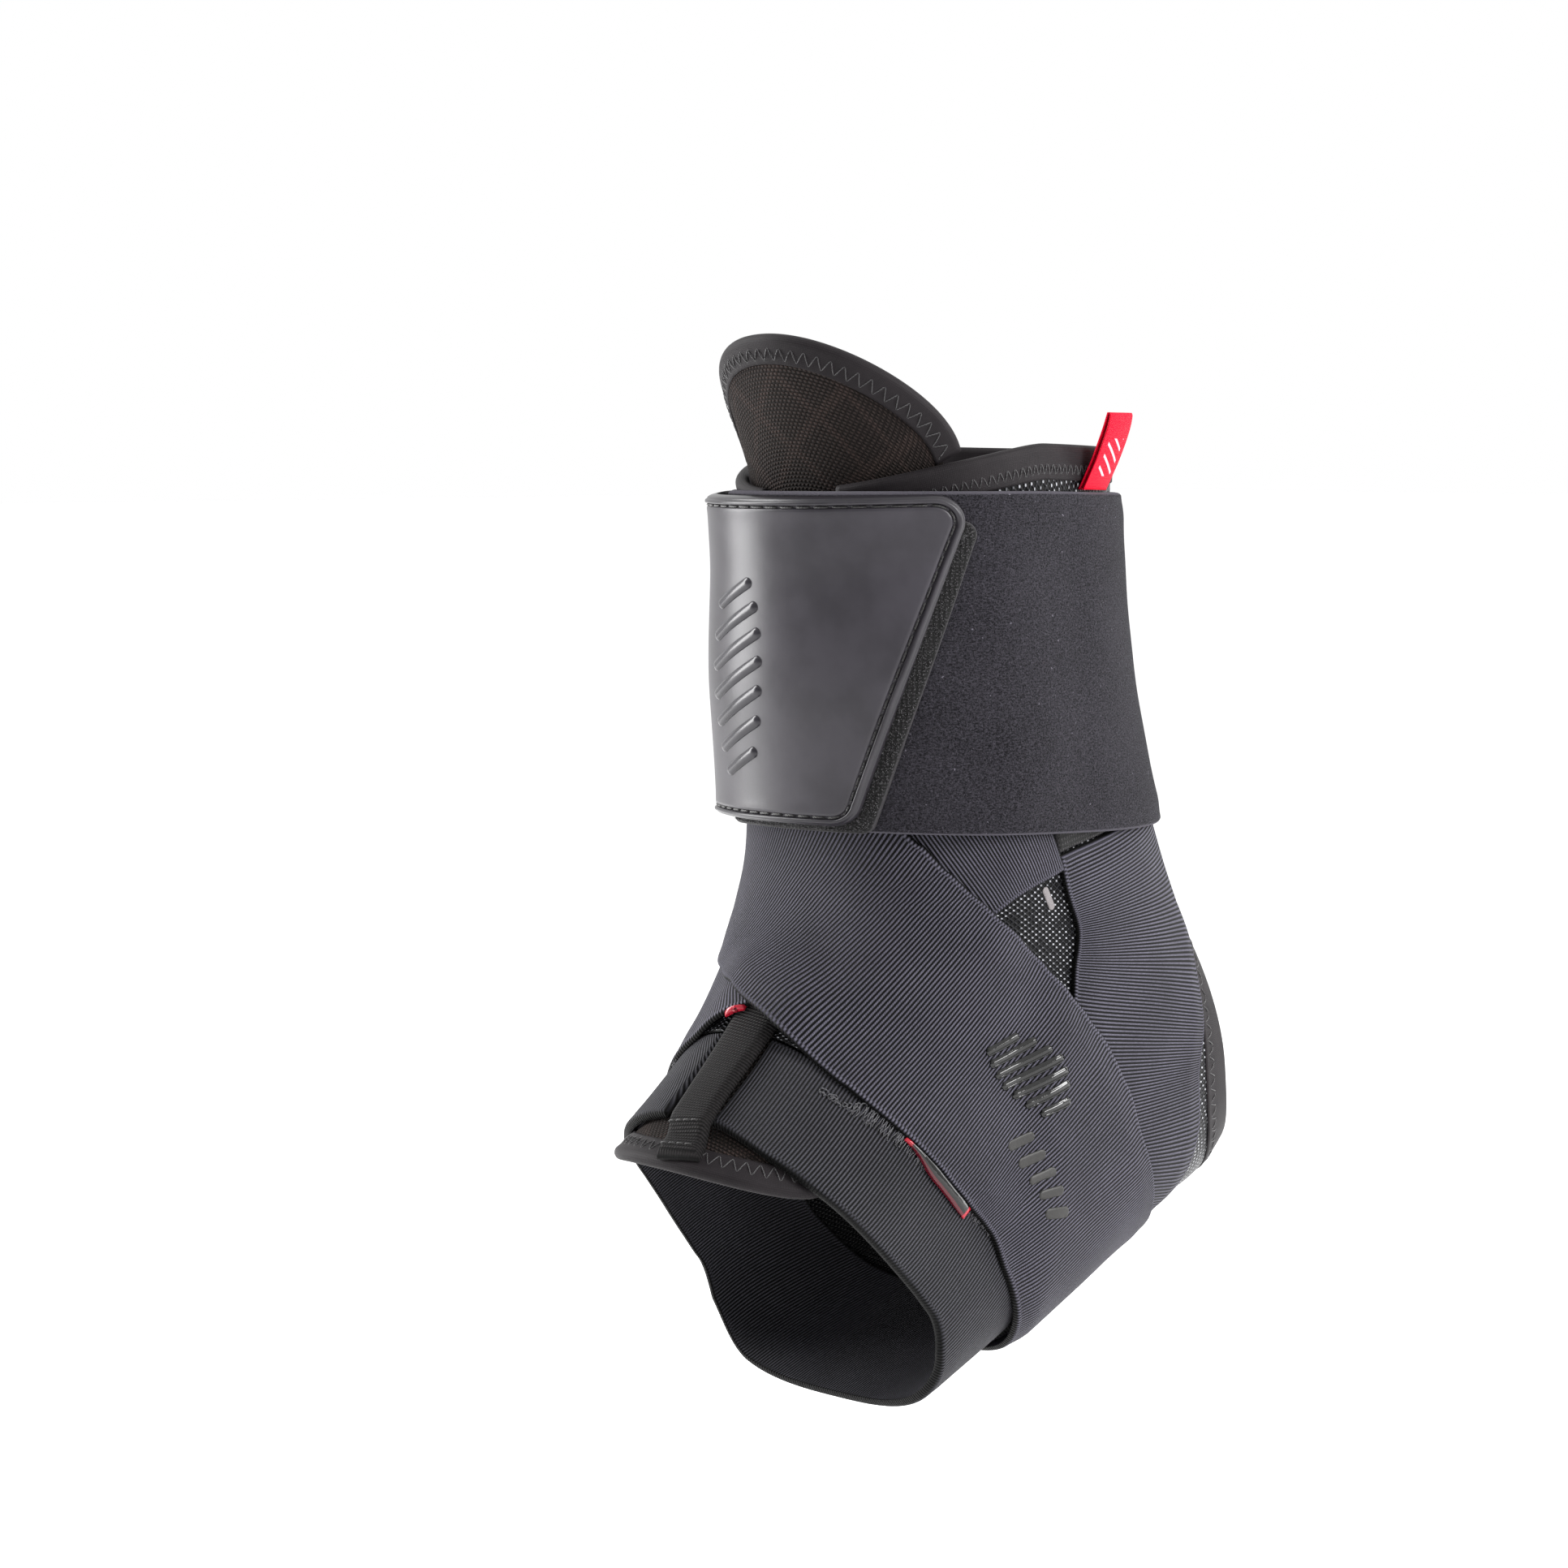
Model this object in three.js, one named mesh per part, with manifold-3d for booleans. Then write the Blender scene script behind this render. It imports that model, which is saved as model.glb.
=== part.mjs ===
// A wrap-around ankle brace for a left foot, in the form it has when worn with the heel lifted.
// The pieces are cloth layers laid one over another on a smooth leg-and-foot form: a padded tongue,
// a mesh body with bound edges and an open heel, an elastic band round the midfoot, two elastic straps
// that cross over the instep and pass under the sole, a wide cuff round the leg and its moulded tab.
// Millimetres, +Z up, the toes towards -Y, the outer side of the ankle towards +X.
import * as THREE from "three";
import { mergeVertices } from "three/addons/utils/BufferGeometryUtils.js";
import Module from "manifold-3d";

const wasm = await Module();
wasm.setup();

// The form inside the brace
const ankleDepth = 75; // front to back of the leg just above the ankle
const ankleWidth = 66; // side to side there
const legRise = 190; // from the ankle's centre up to the first row of the form
const footReach = 129; // from the ankle's centre forward to the last row, along the instep
const footDrop = 119; // from the ankle's centre down to the last row, under the sole
const footWidth = 89; // side to side of the last row

// The cloth
const tongueThickness = 2.8;
const bodyThickness = 2;
const bindingProud = 0.4; // how far a binding stands out from the cloth that it binds
const strapThickness = 1.3;
const cuffThickness = 1.8;
const hookThickness = 1.2;
const webbingThickness = 1.5;
const tagThickness = 1.4;
const layerGap = 0.65; // between one layer and the next
const seamGap = 0.45; // between two pieces joined edge to edge

// Widths and lengths
const tongueBindingWidth = 6.5;
const topBindingWidth = 7.5;
const heelBindingWidth = 7;
const strapWidth = 49;
const strapEndLength = 30; // the hook piece that ends each strap
const cuffHeight = 73;
const pullTabWidth = 10;
const labelWidth = 12;
const labelHeight = 17;

// The moulded closure tab, measured along the cuff from the middle of the shin
const tabTopReach = 42.5;
const tabBottomReach = 20;
const tabBackReach = 50;
const tabShort = 1.8; // how much shorter than the cuff it is, at the bottom
const tabCorner = 6; // corner radius
const tabThickness = 1.8;
const rimWidth = 2.4;
const rimHeight = 0.6;
const hookBorder = 3.6; // how far the hook pad shows beyond the tab's slanted edge
const hookTopDrop = 6; // from the tab's top edge down to the hook pad's
const hookBackReach = 18;
const rimSlope = 0.5;
const ridgeCount = 7;
const ridgeWidth = 2.2;
const ridgeHeight = 0.7;
const ridgeSpacing = 6;
const ridgeLength = 19; // of the longest ridge

// Sections of the form, from the top down. Out is forward of the ankle's centre and up is above it.
// A leg row's lengths are shares of ankleDepth, legRise and ankleWidth, a foot row's of footReach,
// footDrop and footWidth. Widest is the share of the way from the front point to the back one.
const ROW_COLUMNS = [
  "frontOut", "frontUp", "backOut", "backUp", "outer", "inner", "widest", "frontPower", "backPower",
];
const LEG_ROWS = [
  [0.93, 1.0, -0.39, 0.97, 0.68, 0.65, 0.52, 2.1, 2.1],
  [0.73, 0.685, -0.45, 0.665, 0.545, 0.56, 0.52, 2.1, 2.0],
  [0.575, 0.5, -0.44, 0.485, 0.5, 0.485, 0.5, 2.1, 2.0],
  [0.515, 0.29, -0.465, 0.275, 0.5, 0.475, 0.5, 2.1, 2.0],
  [0.48, 0.115, -0.63, 0.07, 0.53, 0.5, 0.46, 2.1, 2.0],
  [0.53, 0.025, -0.845, -0.065, 0.545, 0.52, 0.42, 2.1, 2.0],
];
const FOOT_ROWS = [
  [0.37, -0.075, -0.61, -0.31, 0.395, 0.395, 0.42, 2.1, 2.0],
  [0.44, -0.175, -0.51, -0.48, 0.38, 0.38, 0.48, 2.1, 2.2],
  [0.525, -0.27, -0.28, -0.565, 0.395, 0.395, 0.55, 2.1, 2.4],
  [0.625, -0.355, -0.025, -0.69, 0.415, 0.405, 0.62, 2.1, 2.5],
  [0.765, -0.43, 0.265, -0.83, 0.45, 0.43, 0.66, 2.1, 2.6],
  [1.0, -0.565, 0.605, -1.0, 0.505, 0.495, 0.66, 2.1, 2.5],
];

// Places on the form: a level counts rows from the top, an angle in degrees runs from the front (0)
// over the outer side (90) to the back or the sole (180).
const tongueTop = { level: 1.02, angle: 6, fall: 0.72, halfAngle: 57, turn: 1 };
const tongueToe = { level: 9.33, angle: 6, fall: 0.4, halfAngle: 44, turn: -1 };
const bodyTop = { back: 1.62, front: 1.94, power: 1.3 };
const throatOuter = { top: 22, toe: 13 }; // angles of the body's front edges beside the tongue
const throatInner = { top: -8, toe: -3 };
const heelHole = { level: 5.75, halfLevel: 0.98, halfAngle: 44, squareness: 0.78, egg: 0.14 };
const cuffMiddle = 2.86;
const cuffFrom = -30; // the cuff's own end, under the tab
const cuffTo = 310; // the end that carries the tab
// Angles from the front and levels between which the cuff comes down off the straps' ends
const strapsEnd = { two: 48, one: 85, last: 150, none: 172, top: 2.2, full: 2.8 };
const labelAngle = 109;
const labelLean = 0.3; // how far the label leans out for each millimetre of its rise
const pullDrop = { from: 8.65, to: 9.0 }; // where the pull tab comes down onto the tongue
const ridgeCentre = { along: -7, across: -3 };
const ridgeLean = 28;
// Tags at the toe-side edge of a strap, by shares of its length
const sideTag = { from: 0.313, to: 0.363, width: 2.8, side: -1 };
const frontTag = { from: 0.189, to: 0.202, width: 1.8, side: 1 };

// The seam where the midfoot band meets the mesh body, and the band's toe edge, by angle
const BAND_COLUMNS = ["angle", "seam", "toe"];
const BAND_ROWS = [
  [13, 7.05, 8.58],
  [32, 7.3, 8.82],
  [58, 7.8, 9.15],
  [83, 8.3, 9.43],
  [107, 8.75, 9.73],
  [140, 8.95, 9.95],
  [180, 9.0, 10.0],
  [220, 8.95, 9.95],
  [253, 8.7, 9.7],
  [277, 8.3, 9.4],
  [302, 7.85, 9.1],
  [330, 7.35, 8.85],
  [357, 7.1, 8.6],
];

// The middle of each strap, from its sewn start over the instep, under the sole and up again.
// The over strap turns one way round the foot and the under strap the other.
const STRAP_COLUMNS = ["angle", "over", "under"];
const STRAP_ROWS = [
  [-75, 3.45, 3.45],
  [-50, 3.65, 3.7],
  [-25, 4.1, 4.2],
  [3, 4.75, 5.0],
  [26, 5.45, 5.8],
  [45, 6.0, 6.4],
  [65, 6.6, 7.0],
  [86, 7.4, 7.7],
  [104, 8.1, 8.3],
  [135, 8.55, 8.7],
  [180, 8.65, 8.8],
  [215, 8.4, 8.5],
  [235, 8.0, 8.1],
  [248, 7.4, 7.4],
  [258, 6.5, 6.5],
  [254, 5.4, 5.4],
  [247, 4.5, 4.5],
  [248, 3.85, 3.85],
  [248, 3.0, 3.0],
];

// Rings of the piece that cuts the heel opening, by shares of the way out from its centre
const CUTTER_RINGS = [1, 0.6, 0.25];

// The webbing pull tab on the tongue's toe end
const PULL_COLUMNS = ["angle", "level"];
const PULL_ROWS = [
  [7, 6.4],
  [6.5, 7.2],
  [7, 8.0],
  [9, 8.7],
  [13, 9.25],
];

// How fine the meshes are
const clothStep = 6.8; // along a ribbon
const bindingStep = 6; // along the tongue's bindings
const coverStep = 3; // along the lines that layers are measured from
const tongueRows = 16;
const tongueColumns = 9;
const bodyRows = 18; // from the body's top edge down to its seam
const bodyColumns = 33; // round the body and the midfoot band
const bandRows = 4;
const heelColumns = 40; // round the heel opening
const strapColumns = 6;
const cuffColumns = 6;
const tabColumns = 13;
const tabRows = 5; // between the rows at its edges
const padColumns = 9;
const padRows = 5;
const labelRows = 4;
const slideStep = 6; // of a walk over the form
const walkSteps = 240; // places at which a line's run is known
const levelStep = 0.02; // for slopes along the form
const tongueFrom = 0.05; // share of the tongue's end arcs left out at each side, where they turn back
const rimReach = 0.01; // added to the rim's width so that the row on its edge counts as rim
const rampStart = 3; // a layer is at full height this far past the edge of what it covers
const rampEnd = 15; // and is back down this far past it
const cuffLift = 8; // height above the form at which the cuff's lengths are measured
const chartTurn = 150; // degrees to each side that the cuff's chart covers

const degrees = THREE.MathUtils.degToRad;

function table(columns, rows) {
  return rows.map((row) => Object.fromEntries(columns.map((name, k) => [name, row[k]])));
}

// Catmull-Rom between the rows of a table, at a whole or broken row number.
function between(rows, at) {
  const last = rows.length - 1;
  const i = Math.min(Math.max(Math.floor(at), 0), last - 1);
  const t = at - i;
  const near = [i - 1, i, i + 1, i + 2].map((k) => rows[Math.min(Math.max(k, 0), last)]);
  const mixed = {};
  for (const name of Object.keys(rows[0])) {
    const [a, b, c, d] = near.map((row) => row[name]);
    const slope = (c - a) * t;
    const bend = (2 * a - 5 * b + 4 * c - d) * t * t;
    const twist = (3 * b - a - 3 * c + d) * t * t * t;
    mixed[name] = 0.5 * (2 * b + slope + bend + twist);
  }
  return mixed;
}

// The same between rows whose first column rises, at a value of that column.
function lookUp(rows, name, value) {
  let i = 0;
  while (i < rows.length - 2 && rows[i + 1][name] < value) i += 1;
  const share = (value - rows[i][name]) / (rows[i + 1][name] - rows[i][name]);
  return between(rows, i + share);
}

function sized(rows, depth, rise, width) {
  return table(ROW_COLUMNS, rows).map((row) => ({
    ...row,
    frontOut: row.frontOut * depth,
    backOut: row.backOut * depth,
    frontUp: row.frontUp * rise,
    backUp: row.backUp * rise,
    outer: row.outer * width,
    inner: row.inner * width,
  }));
}

const formRows = [
  ...sized(LEG_ROWS, ankleDepth, legRise, ankleWidth),
  ...sized(FOOT_ROWS, footReach, footDrop, footWidth),
];

// A point on the form: a rounded section between the row's front and back points.
function formPoint(level, angle) {
  const row = between(formRows, level);
  const turn = degrees(angle);
  const power = Math.cos(turn) > 0 ? row.frontPower : row.backPower;
  const ahead = Math.sign(Math.cos(turn)) * Math.abs(Math.cos(turn)) ** (2 / power);
  const beside = Math.sign(Math.sin(turn)) * Math.abs(Math.sin(turn)) ** (2 / power);
  const share = ahead > 0 ? row.widest * (1 - ahead) : row.widest - (1 - row.widest) * ahead;
  const out = row.frontOut + (row.backOut - row.frontOut) * share;
  const up = row.frontUp + (row.backUp - row.frontUp) * share;
  return new THREE.Vector3(beside * (beside > 0 ? row.outer : row.inner), -out, up);
}

function formNormal(level, angle) {
  const down = formPoint(level + levelStep, angle).sub(formPoint(level - levelStep, angle));
  const round = formPoint(level, angle + 1).sub(formPoint(level, angle - 1));
  return down.cross(round).normalize();
}

// A point a given height above the form.
function lifted(place, height) {
  return formPoint(place.level, place.angle).addScaledVector(formNormal(place.level, place.angle), height);
}

// Walks over the form, or a surface a height above it, in a heading and for a distance.
function slide(place, heading, distance, height) {
  const steps = Math.max(1, Math.ceil(Math.abs(distance) / slideStep));
  let { level, angle } = place;
  const ahead = heading.clone();
  for (let k = 0; k < steps; k += 1) {
    const down = lifted({ level: level + levelStep, angle }, height);
    down.sub(lifted({ level: level - levelStep, angle }, height)).divideScalar(2 * levelStep);
    const round = lifted({ level, angle: angle + 1 }, height);
    round.sub(lifted({ level, angle: angle - 1 }, height)).divideScalar(2);
    ahead.projectOnPlane(down.clone().cross(round).normalize()).normalize();
    const move = ahead.clone().multiplyScalar(distance / steps);
    const dd = down.dot(down);
    const dr = down.dot(round);
    const rr = round.dot(round);
    const det = dd * rr - dr * dr;
    level += (move.dot(down) * rr - move.dot(round) * dr) / det;
    angle += (move.dot(round) * dd - move.dot(down) * dr) / det;
  }
  return { level, angle };
}

// A line, given by a function of 0 to 1, with the run along it at each of many places.
function walk(line, height) {
  const dense = [];
  let run = 0;
  let last = null;
  for (let k = 0; k <= walkSteps; k += 1) {
    const place = line(k / walkSteps);
    const point = lifted(place, height);
    if (last) run += point.distanceTo(last);
    last = point;
    dense.push({ ...place, run });
  }
  return { dense, run, height };
}

// Places about a step apart between two runs of a walk, each with its heading.
function placesAlong(line, from, to, step) {
  const count = Math.max(2, Math.round((to - from) / step));
  return Array.from({ length: count + 1 }, (_, k) => {
    const run = from + ((to - from) * k) / count;
    const [behind, ahead] = [Math.max(0, run - slideStep), Math.min(line.run, run + slideStep)];
    const start = lifted(atRun(line.dense, behind), line.height);
    const heading = lifted(atRun(line.dense, ahead), line.height).sub(start).normalize();
    return { ...atRun(line.dense, run), heading };
  });
}

function atRun(dense, run) {
  let i = 0;
  while (i < dense.length - 2 && dense[i + 1].run < run) i += 1;
  const share = (run - dense[i].run) / (dense[i + 1].run - dense[i].run);
  return {
    level: THREE.MathUtils.lerp(dense[i].level, dense[i + 1].level, share),
    angle: THREE.MathUtils.lerp(dense[i].angle, dense[i + 1].angle, share),
    run,
  };
}

// The grid of a ribbon: at each place of its middle line, places to each side of it.
function ribbonGrid(places, across, height, closed = false) {
  const count = places.length;
  return places.map((place, i) => {
    const next = places[closed ? (i + 1) % count : Math.min(i + 1, count - 1)];
    const last = places[closed ? (i + count - 1) % count : Math.max(i - 1, 0)];
    const heading = place.heading || lifted(next, height).sub(lifted(last, height)).normalize();
    const side = formNormal(place.level, place.angle).cross(heading);
    return across.map((distance) => slide(place, side, distance, height));
  });
}

function spread(half, columns) {
  return Array.from({ length: columns + 1 }, (_, k) => half * ((2 * k) / columns - 1));
}

// A closed body between two heights over a grid of places. A closed grid joins its last row to its first.
// Each cell is cut along the diagonal that lies further out, so that a layer clears what it covers.
function sheet(grid, bottom, top, closed = false) {
  const rows = grid.length;
  const columns = grid[0].length;
  const points = [];
  for (const height of [top, bottom]) {
    for (const row of grid) for (const place of row) points.push(lifted(place, height(place)));
  }
  const at = (side, i, j) => (side * rows + (i % rows)) * columns + j;
  const faces = [];
  const quad = (a, b, c, d, cutFirst = true) => {
    if (cutFirst) faces.push(a, b, c, a, c, d);
    else faces.push(a, b, d, b, c, d);
  };
  const lastRow = closed ? rows : rows - 1;
  for (let i = 0; i < lastRow; i += 1) {
    for (let j = 0; j < columns - 1; j += 1) {
      const [a, b, c, d] = [at(0, i, j), at(0, i + 1, j), at(0, i + 1, j + 1), at(0, i, j + 1)];
      const out = points[a].clone().sub(points[a + rows * columns]);
      const first = points[a].clone().add(points[c]);
      const cutFirst = first.sub(points[b]).sub(points[d]).dot(out) >= 0;
      quad(a, b, c, d, cutFirst);
      quad(at(1, i, j + 1), at(1, i + 1, j + 1), at(1, i + 1, j), at(1, i, j), !cutFirst);
    }
    quad(at(0, i + 1, 0), at(0, i, 0), at(1, i, 0), at(1, i + 1, 0));
    quad(at(0, i, columns - 1), at(0, i + 1, columns - 1), at(1, i + 1, columns - 1), at(1, i, columns - 1));
  }
  if (!closed) {
    for (let j = 0; j < columns - 1; j += 1) {
      quad(at(0, 0, j), at(0, 0, j + 1), at(1, 0, j + 1), at(1, 0, j));
      quad(at(0, rows - 1, j + 1), at(0, rows - 1, j), at(1, rows - 1, j), at(1, rows - 1, j + 1));
    }
  }
  return bodyOf(points, faces);
}

// A closed body between two heights over a ring of places and rings inside it, down to a centre.
function disc(rings, centre, bottom, top) {
  const around = rings[0].length;
  const points = [];
  for (const height of [top, bottom]) {
    for (const ring of rings) for (const place of ring) points.push(lifted(place, height(place)));
    points.push(lifted(centre, height(centre)));
  }
  const layer = rings.length * around + 1;
  const at = (side, ring, k) => side * layer + ring * around + (k % around);
  const faces = [];
  for (let k = 0; k < around; k += 1) {
    for (let ring = 0; ring < rings.length - 1; ring += 1) {
      const outer = [at(0, ring, k), at(0, ring, k + 1), at(0, ring + 1, k + 1), at(0, ring + 1, k)];
      const inner = [at(1, ring, k + 1), at(1, ring, k), at(1, ring + 1, k), at(1, ring + 1, k + 1)];
      for (const [a, b, c, d] of [outer, inner]) faces.push(a, b, c, a, c, d);
    }
    const last = rings.length - 1;
    faces.push(at(0, last, k), at(0, last, k + 1), layer - 1);
    faces.push(at(1, last, k + 1), at(1, last, k), 2 * layer - 1);
    faces.push(at(0, 0, k + 1), at(0, 0, k), at(1, 0, k), at(0, 0, k + 1), at(1, 0, k), at(1, 0, k + 1));
  }
  return bodyOf(points, faces);
}

// A geometry from points and faces, turned so that its faces point outwards.
function bodyOf(points, faces) {
  let volume = 0;
  for (let k = 0; k < faces.length; k += 3) {
    const [a, b, c] = [points[faces[k]], points[faces[k + 1]], points[faces[k + 2]]];
    volume += a.dot(b.clone().cross(c));
  }
  if (volume < 0) {
    for (let k = 0; k < faces.length; k += 3) [faces[k + 1], faces[k + 2]] = [faces[k + 2], faces[k + 1]];
  }
  const geometry = new THREE.BufferGeometry();
  geometry.setAttribute("position", new THREE.Float32BufferAttribute(points.flatMap((p) => p.toArray()), 3));
  geometry.setIndex(faces);
  return geometry;
}

function solidOf(geometry) {
  const merged = mergeVertices(geometry, 1e-4);
  return new wasm.Manifold(
    new wasm.Mesh({
      numProp: 3,
      vertProperties: merged.attributes.position.array,
      triVerts: new Uint32Array(merged.index.array),
    }),
  );
}

function geometryOf(solid) {
  const mesh = solid.getMesh();
  const geometry = new THREE.BufferGeometry();
  geometry.setAttribute("position", new THREE.BufferAttribute(new Float32Array(mesh.vertProperties), 3));
  geometry.setIndex(new THREE.BufferAttribute(new Uint32Array(mesh.triVerts), 1));
  return geometry;
}

// Layers: how much of a layer lies at a place, from 1 over it to 0 a little way past its edge.
function fade(excess) {
  return 1 - THREE.MathUtils.smoothstep(excess, rampStart, rampEnd);
}

// How far a place lies outside a ribbon with a middle line and a half width.
function outsideRibbon(ribbon, place) {
  const point = lifted(place, ribbon.height);
  let best = Infinity;
  let at = 0;
  ribbon.points.forEach((other, k) => {
    const distance = other.distanceToSquared(point);
    if (distance < best) {
      best = distance;
      at = k;
    }
  });
  const last = ribbon.points.length - 1;
  const before = ribbon.points[Math.max(at - 1, 0)];
  const tangent = ribbon.points[Math.min(at + 1, last)].clone().sub(before).normalize();
  const away = point.clone().sub(ribbon.points[at]);
  const along = away.dot(tangent);
  const beside = Math.sqrt(Math.max(0, away.lengthSq() - along * along));
  const past = at === 0 ? Math.max(0, -along) : at === last ? Math.max(0, along) : 0;
  return Math.hypot(past, Math.max(0, beside - ribbon.half));
}

function coverOf(line, width, height) {
  const places = placesAlong(line, 0, line.run, coverStep);
  return { points: places.map((place) => lifted(place, height)), half: width / 2, height };
}

function shortTurn(angle) {
  return ((angle + 540) % 360) - 180;
}

// Heights of the layers above the form, each a function of the place
const strapHeight = tongueThickness + bodyThickness + layerGap * 2;
const tongueFull = tongueThickness + bindingProud;

function tongueCover(place) {
  const rise = tongueToe.level - tongueTop.level;
  const share = THREE.MathUtils.clamp((place.level - tongueTop.level) / rise, 0, 1);
  const middle = THREE.MathUtils.lerp(tongueTop.angle, tongueToe.angle, share);
  const half = THREE.MathUtils.lerp(tongueTop.halfAngle, tongueToe.halfAngle, share);
  const turn = Math.abs(shortTurn(place.angle - middle)) - half;
  const row = between(formRows, THREE.MathUtils.clamp(place.level, 0, formRows.length - 1));
  return fade(Math.max(degrees(turn) * row.outer, 0));
}

const pullTable = table(PULL_COLUMNS, PULL_ROWS);
const pullLine = (share) => between(pullTable, share * (pullTable.length - 1));
const strapTable = table(STRAP_COLUMNS, STRAP_ROWS);

function strapLine(name, turn) {
  return (share) => {
    const row = between(strapTable, share * (strapTable.length - 1));
    return { level: row[name], angle: turn * row.angle };
  };
}

const overRun = walk(strapLine("over", 1), strapHeight);
const underRun = walk(strapLine("under", -1), strapHeight);
const pullRun = walk(pullLine, strapHeight);

const pullCover = coverOf(pullRun, pullTabWidth, strapHeight);
const underCover = coverOf(underRun, strapWidth, strapHeight);
const overCover = coverOf(overRun, strapWidth, strapHeight);
const heelEdge = heelRing(0).map((place) => lifted(place, bodyThickness));

function bodyIn(place) {
  return layerGap + tongueCover(place) * tongueFull;
}

function bodyOut(place) {
  return bodyIn(place) + bodyThickness;
}

function pullIn(place) {
  const freed = THREE.MathUtils.smoothstep(place.level, pullDrop.from, pullDrop.to);
  return THREE.MathUtils.lerp(bodyOut(place), tongueFull, freed) + layerGap;
}

function aboveBody(place) {
  const webbing = fade(outsideRibbon(pullCover, place)) * (webbingThickness + layerGap);
  const binding = fade(Math.max(0, nearHeel(place) - heelBindingWidth)) * bindingProud;
  return bodyOut(place) + layerGap + webbing + binding;
}

function overIn(place) {
  return aboveBody(place) + fade(outsideRibbon(underCover, place)) * (strapThickness + layerGap);
}

// The cuff lies smoothly over the top ends of the straps, two deep at the front and one at the sides.
function cuffIn(place) {
  const turn = Math.abs(shortTurn(place.angle));
  const sides = THREE.MathUtils.smoothstep(turn, strapsEnd.two, strapsEnd.one);
  const rear = THREE.MathUtils.smoothstep(turn, strapsEnd.last, strapsEnd.none);
  const low = THREE.MathUtils.smoothstep(place.level, strapsEnd.top, strapsEnd.full);
  const straps = (2 - sides - rear) * low * (strapThickness + layerGap);
  const edge = lifted({ level: bodyTopLevel(place.angle), angle: place.angle }, bodyThickness);
  const belowEdge = edge.distanceTo(lifted(place, bodyThickness));
  return bodyOut(place) + layerGap + straps + fade(Math.max(0, belowEdge - topBindingWidth)) * bindingProud;
}

function cuffOut(place) {
  return cuffIn(place) + cuffThickness;
}

function plus(height, thickness) {
  return (place) => height(place) + thickness;
}

// The heel opening's edge, or a line a distance out from it, as a closed ring of places.
function heelRing(inset) {
  const ring = [];
  for (let k = 0; k < heelColumns; k += 1) {
    const turn = (k / heelColumns) * 2 * Math.PI;
    const side = Math.sign(Math.sin(turn)) * Math.abs(Math.sin(turn)) ** heelHole.squareness;
    const wide = 1 + heelHole.egg * Math.cos(turn);
    ring.push({
      level: heelHole.level + heelHole.halfLevel * Math.cos(turn),
      angle: 180 + heelHole.halfAngle * wide * side,
    });
  }
  return inset ? ribbonGrid(ring, [inset], bodyThickness, true).map((row) => row[0]) : ring;
}

function nearHeel(place) {
  const point = lifted(place, bodyThickness);
  return Math.min(...heelEdge.map((other) => other.distanceTo(point)));
}

// The tongue: a padded panel with a binding over its rounded top and along its toe end
function tongueLine(end) {
  return (share) => {
    const across = Math.sin((share * 2 - 1) * (Math.PI / 2));
    const fall = end.fall * (1 - Math.sqrt(Math.max(0, 1 - across * across)));
    return { level: end.level + fall * end.turn, angle: end.angle + end.halfAngle * across };
  };
}

function tonguePanel() {
  const inset = tongueBindingWidth + seamGap;
  const ends = [tongueTop, tongueToe].map((end) => {
    const line = tongueLine(end);
    const edge = sharesOf(tongueColumns).map(({ share }) => line(tongueFrom + (1 - 2 * tongueFrom) * share));
    return ribbonGrid(edge, [inset * -end.turn], tongueThickness).map((row) => row[0]);
  });
  const grid = sharesOf(tongueRows).map(({ share }) => blend(ends[0], ends[1], share));
  return sheet(grid, () => 0, () => tongueThickness);
}

function tongueBinding(end) {
  const arc = tongueLine(end);
  const line = walk((share) => arc(tongueFrom + (1 - 2 * tongueFrom) * share), tongueThickness);
  const places = placesAlong(line, 0, line.run, bindingStep);
  const across = spread(tongueBindingWidth / 2, 3).map((x) => (x + tongueBindingWidth / 2) * -end.turn);
  return sheet(ribbonGrid(places, across, tongueThickness), () => 0, () => tongueFull);
}

function blend(from, to, share) {
  return from.map((place, k) => ({
    level: THREE.MathUtils.lerp(place.level, to[k].level, share),
    angle: THREE.MathUtils.lerp(place.angle, to[k].angle, share),
  }));
}

// The mesh body: from the bound top edge down to the seam with the midfoot band, open at the throat
function bodyTopLevel(angle) {
  const ahead = Math.max(0, Math.cos(degrees(angle))) ** bodyTop.power;
  return THREE.MathUtils.lerp(bodyTop.back, bodyTop.front, ahead);
}

function bodyTopLine(share) {
  const angle = THREE.MathUtils.lerp(throatOuter.top, 360 + throatInner.top, share);
  return { level: bodyTopLevel(angle), angle };
}

function bandLine(name) {
  const rows = table(BAND_COLUMNS, BAND_ROWS);
  return (share) => {
    const angle = THREE.MathUtils.lerp(throatOuter.toe, 360 + throatInner.toe, share);
    return { level: lookUp(rows, "angle", angle)[name], angle };
  };
}

function edgePlaces(line, inset) {
  const places = sharesOf(bodyColumns).map(({ share }) => line(share));
  return inset ? ribbonGrid(places, [inset], bodyThickness).map((row) => row[0]) : places;
}

function bodyShell() {
  const top = edgePlaces(bodyTopLine, -topBindingWidth - seamGap);
  const seam = edgePlaces(bandLine("seam"), 0);
  const grid = sharesOf(bodyRows).map(({ share }) => blend(top, seam, share));
  const shell = solidOf(sheet(grid, bodyIn, bodyOut));
  const outline = heelRing(-heelBindingWidth - seamGap);
  const centre = { level: heelHole.level, angle: 180 };
  const rings = CUTTER_RINGS.map((share) => blend(outline.map(() => centre), outline, share));
  const cutter = solidOf(disc(rings, centre, () => -bodyThickness, () => bodyThickness * 3));
  return geometryOf(shell.subtract(cutter));
}

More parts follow.
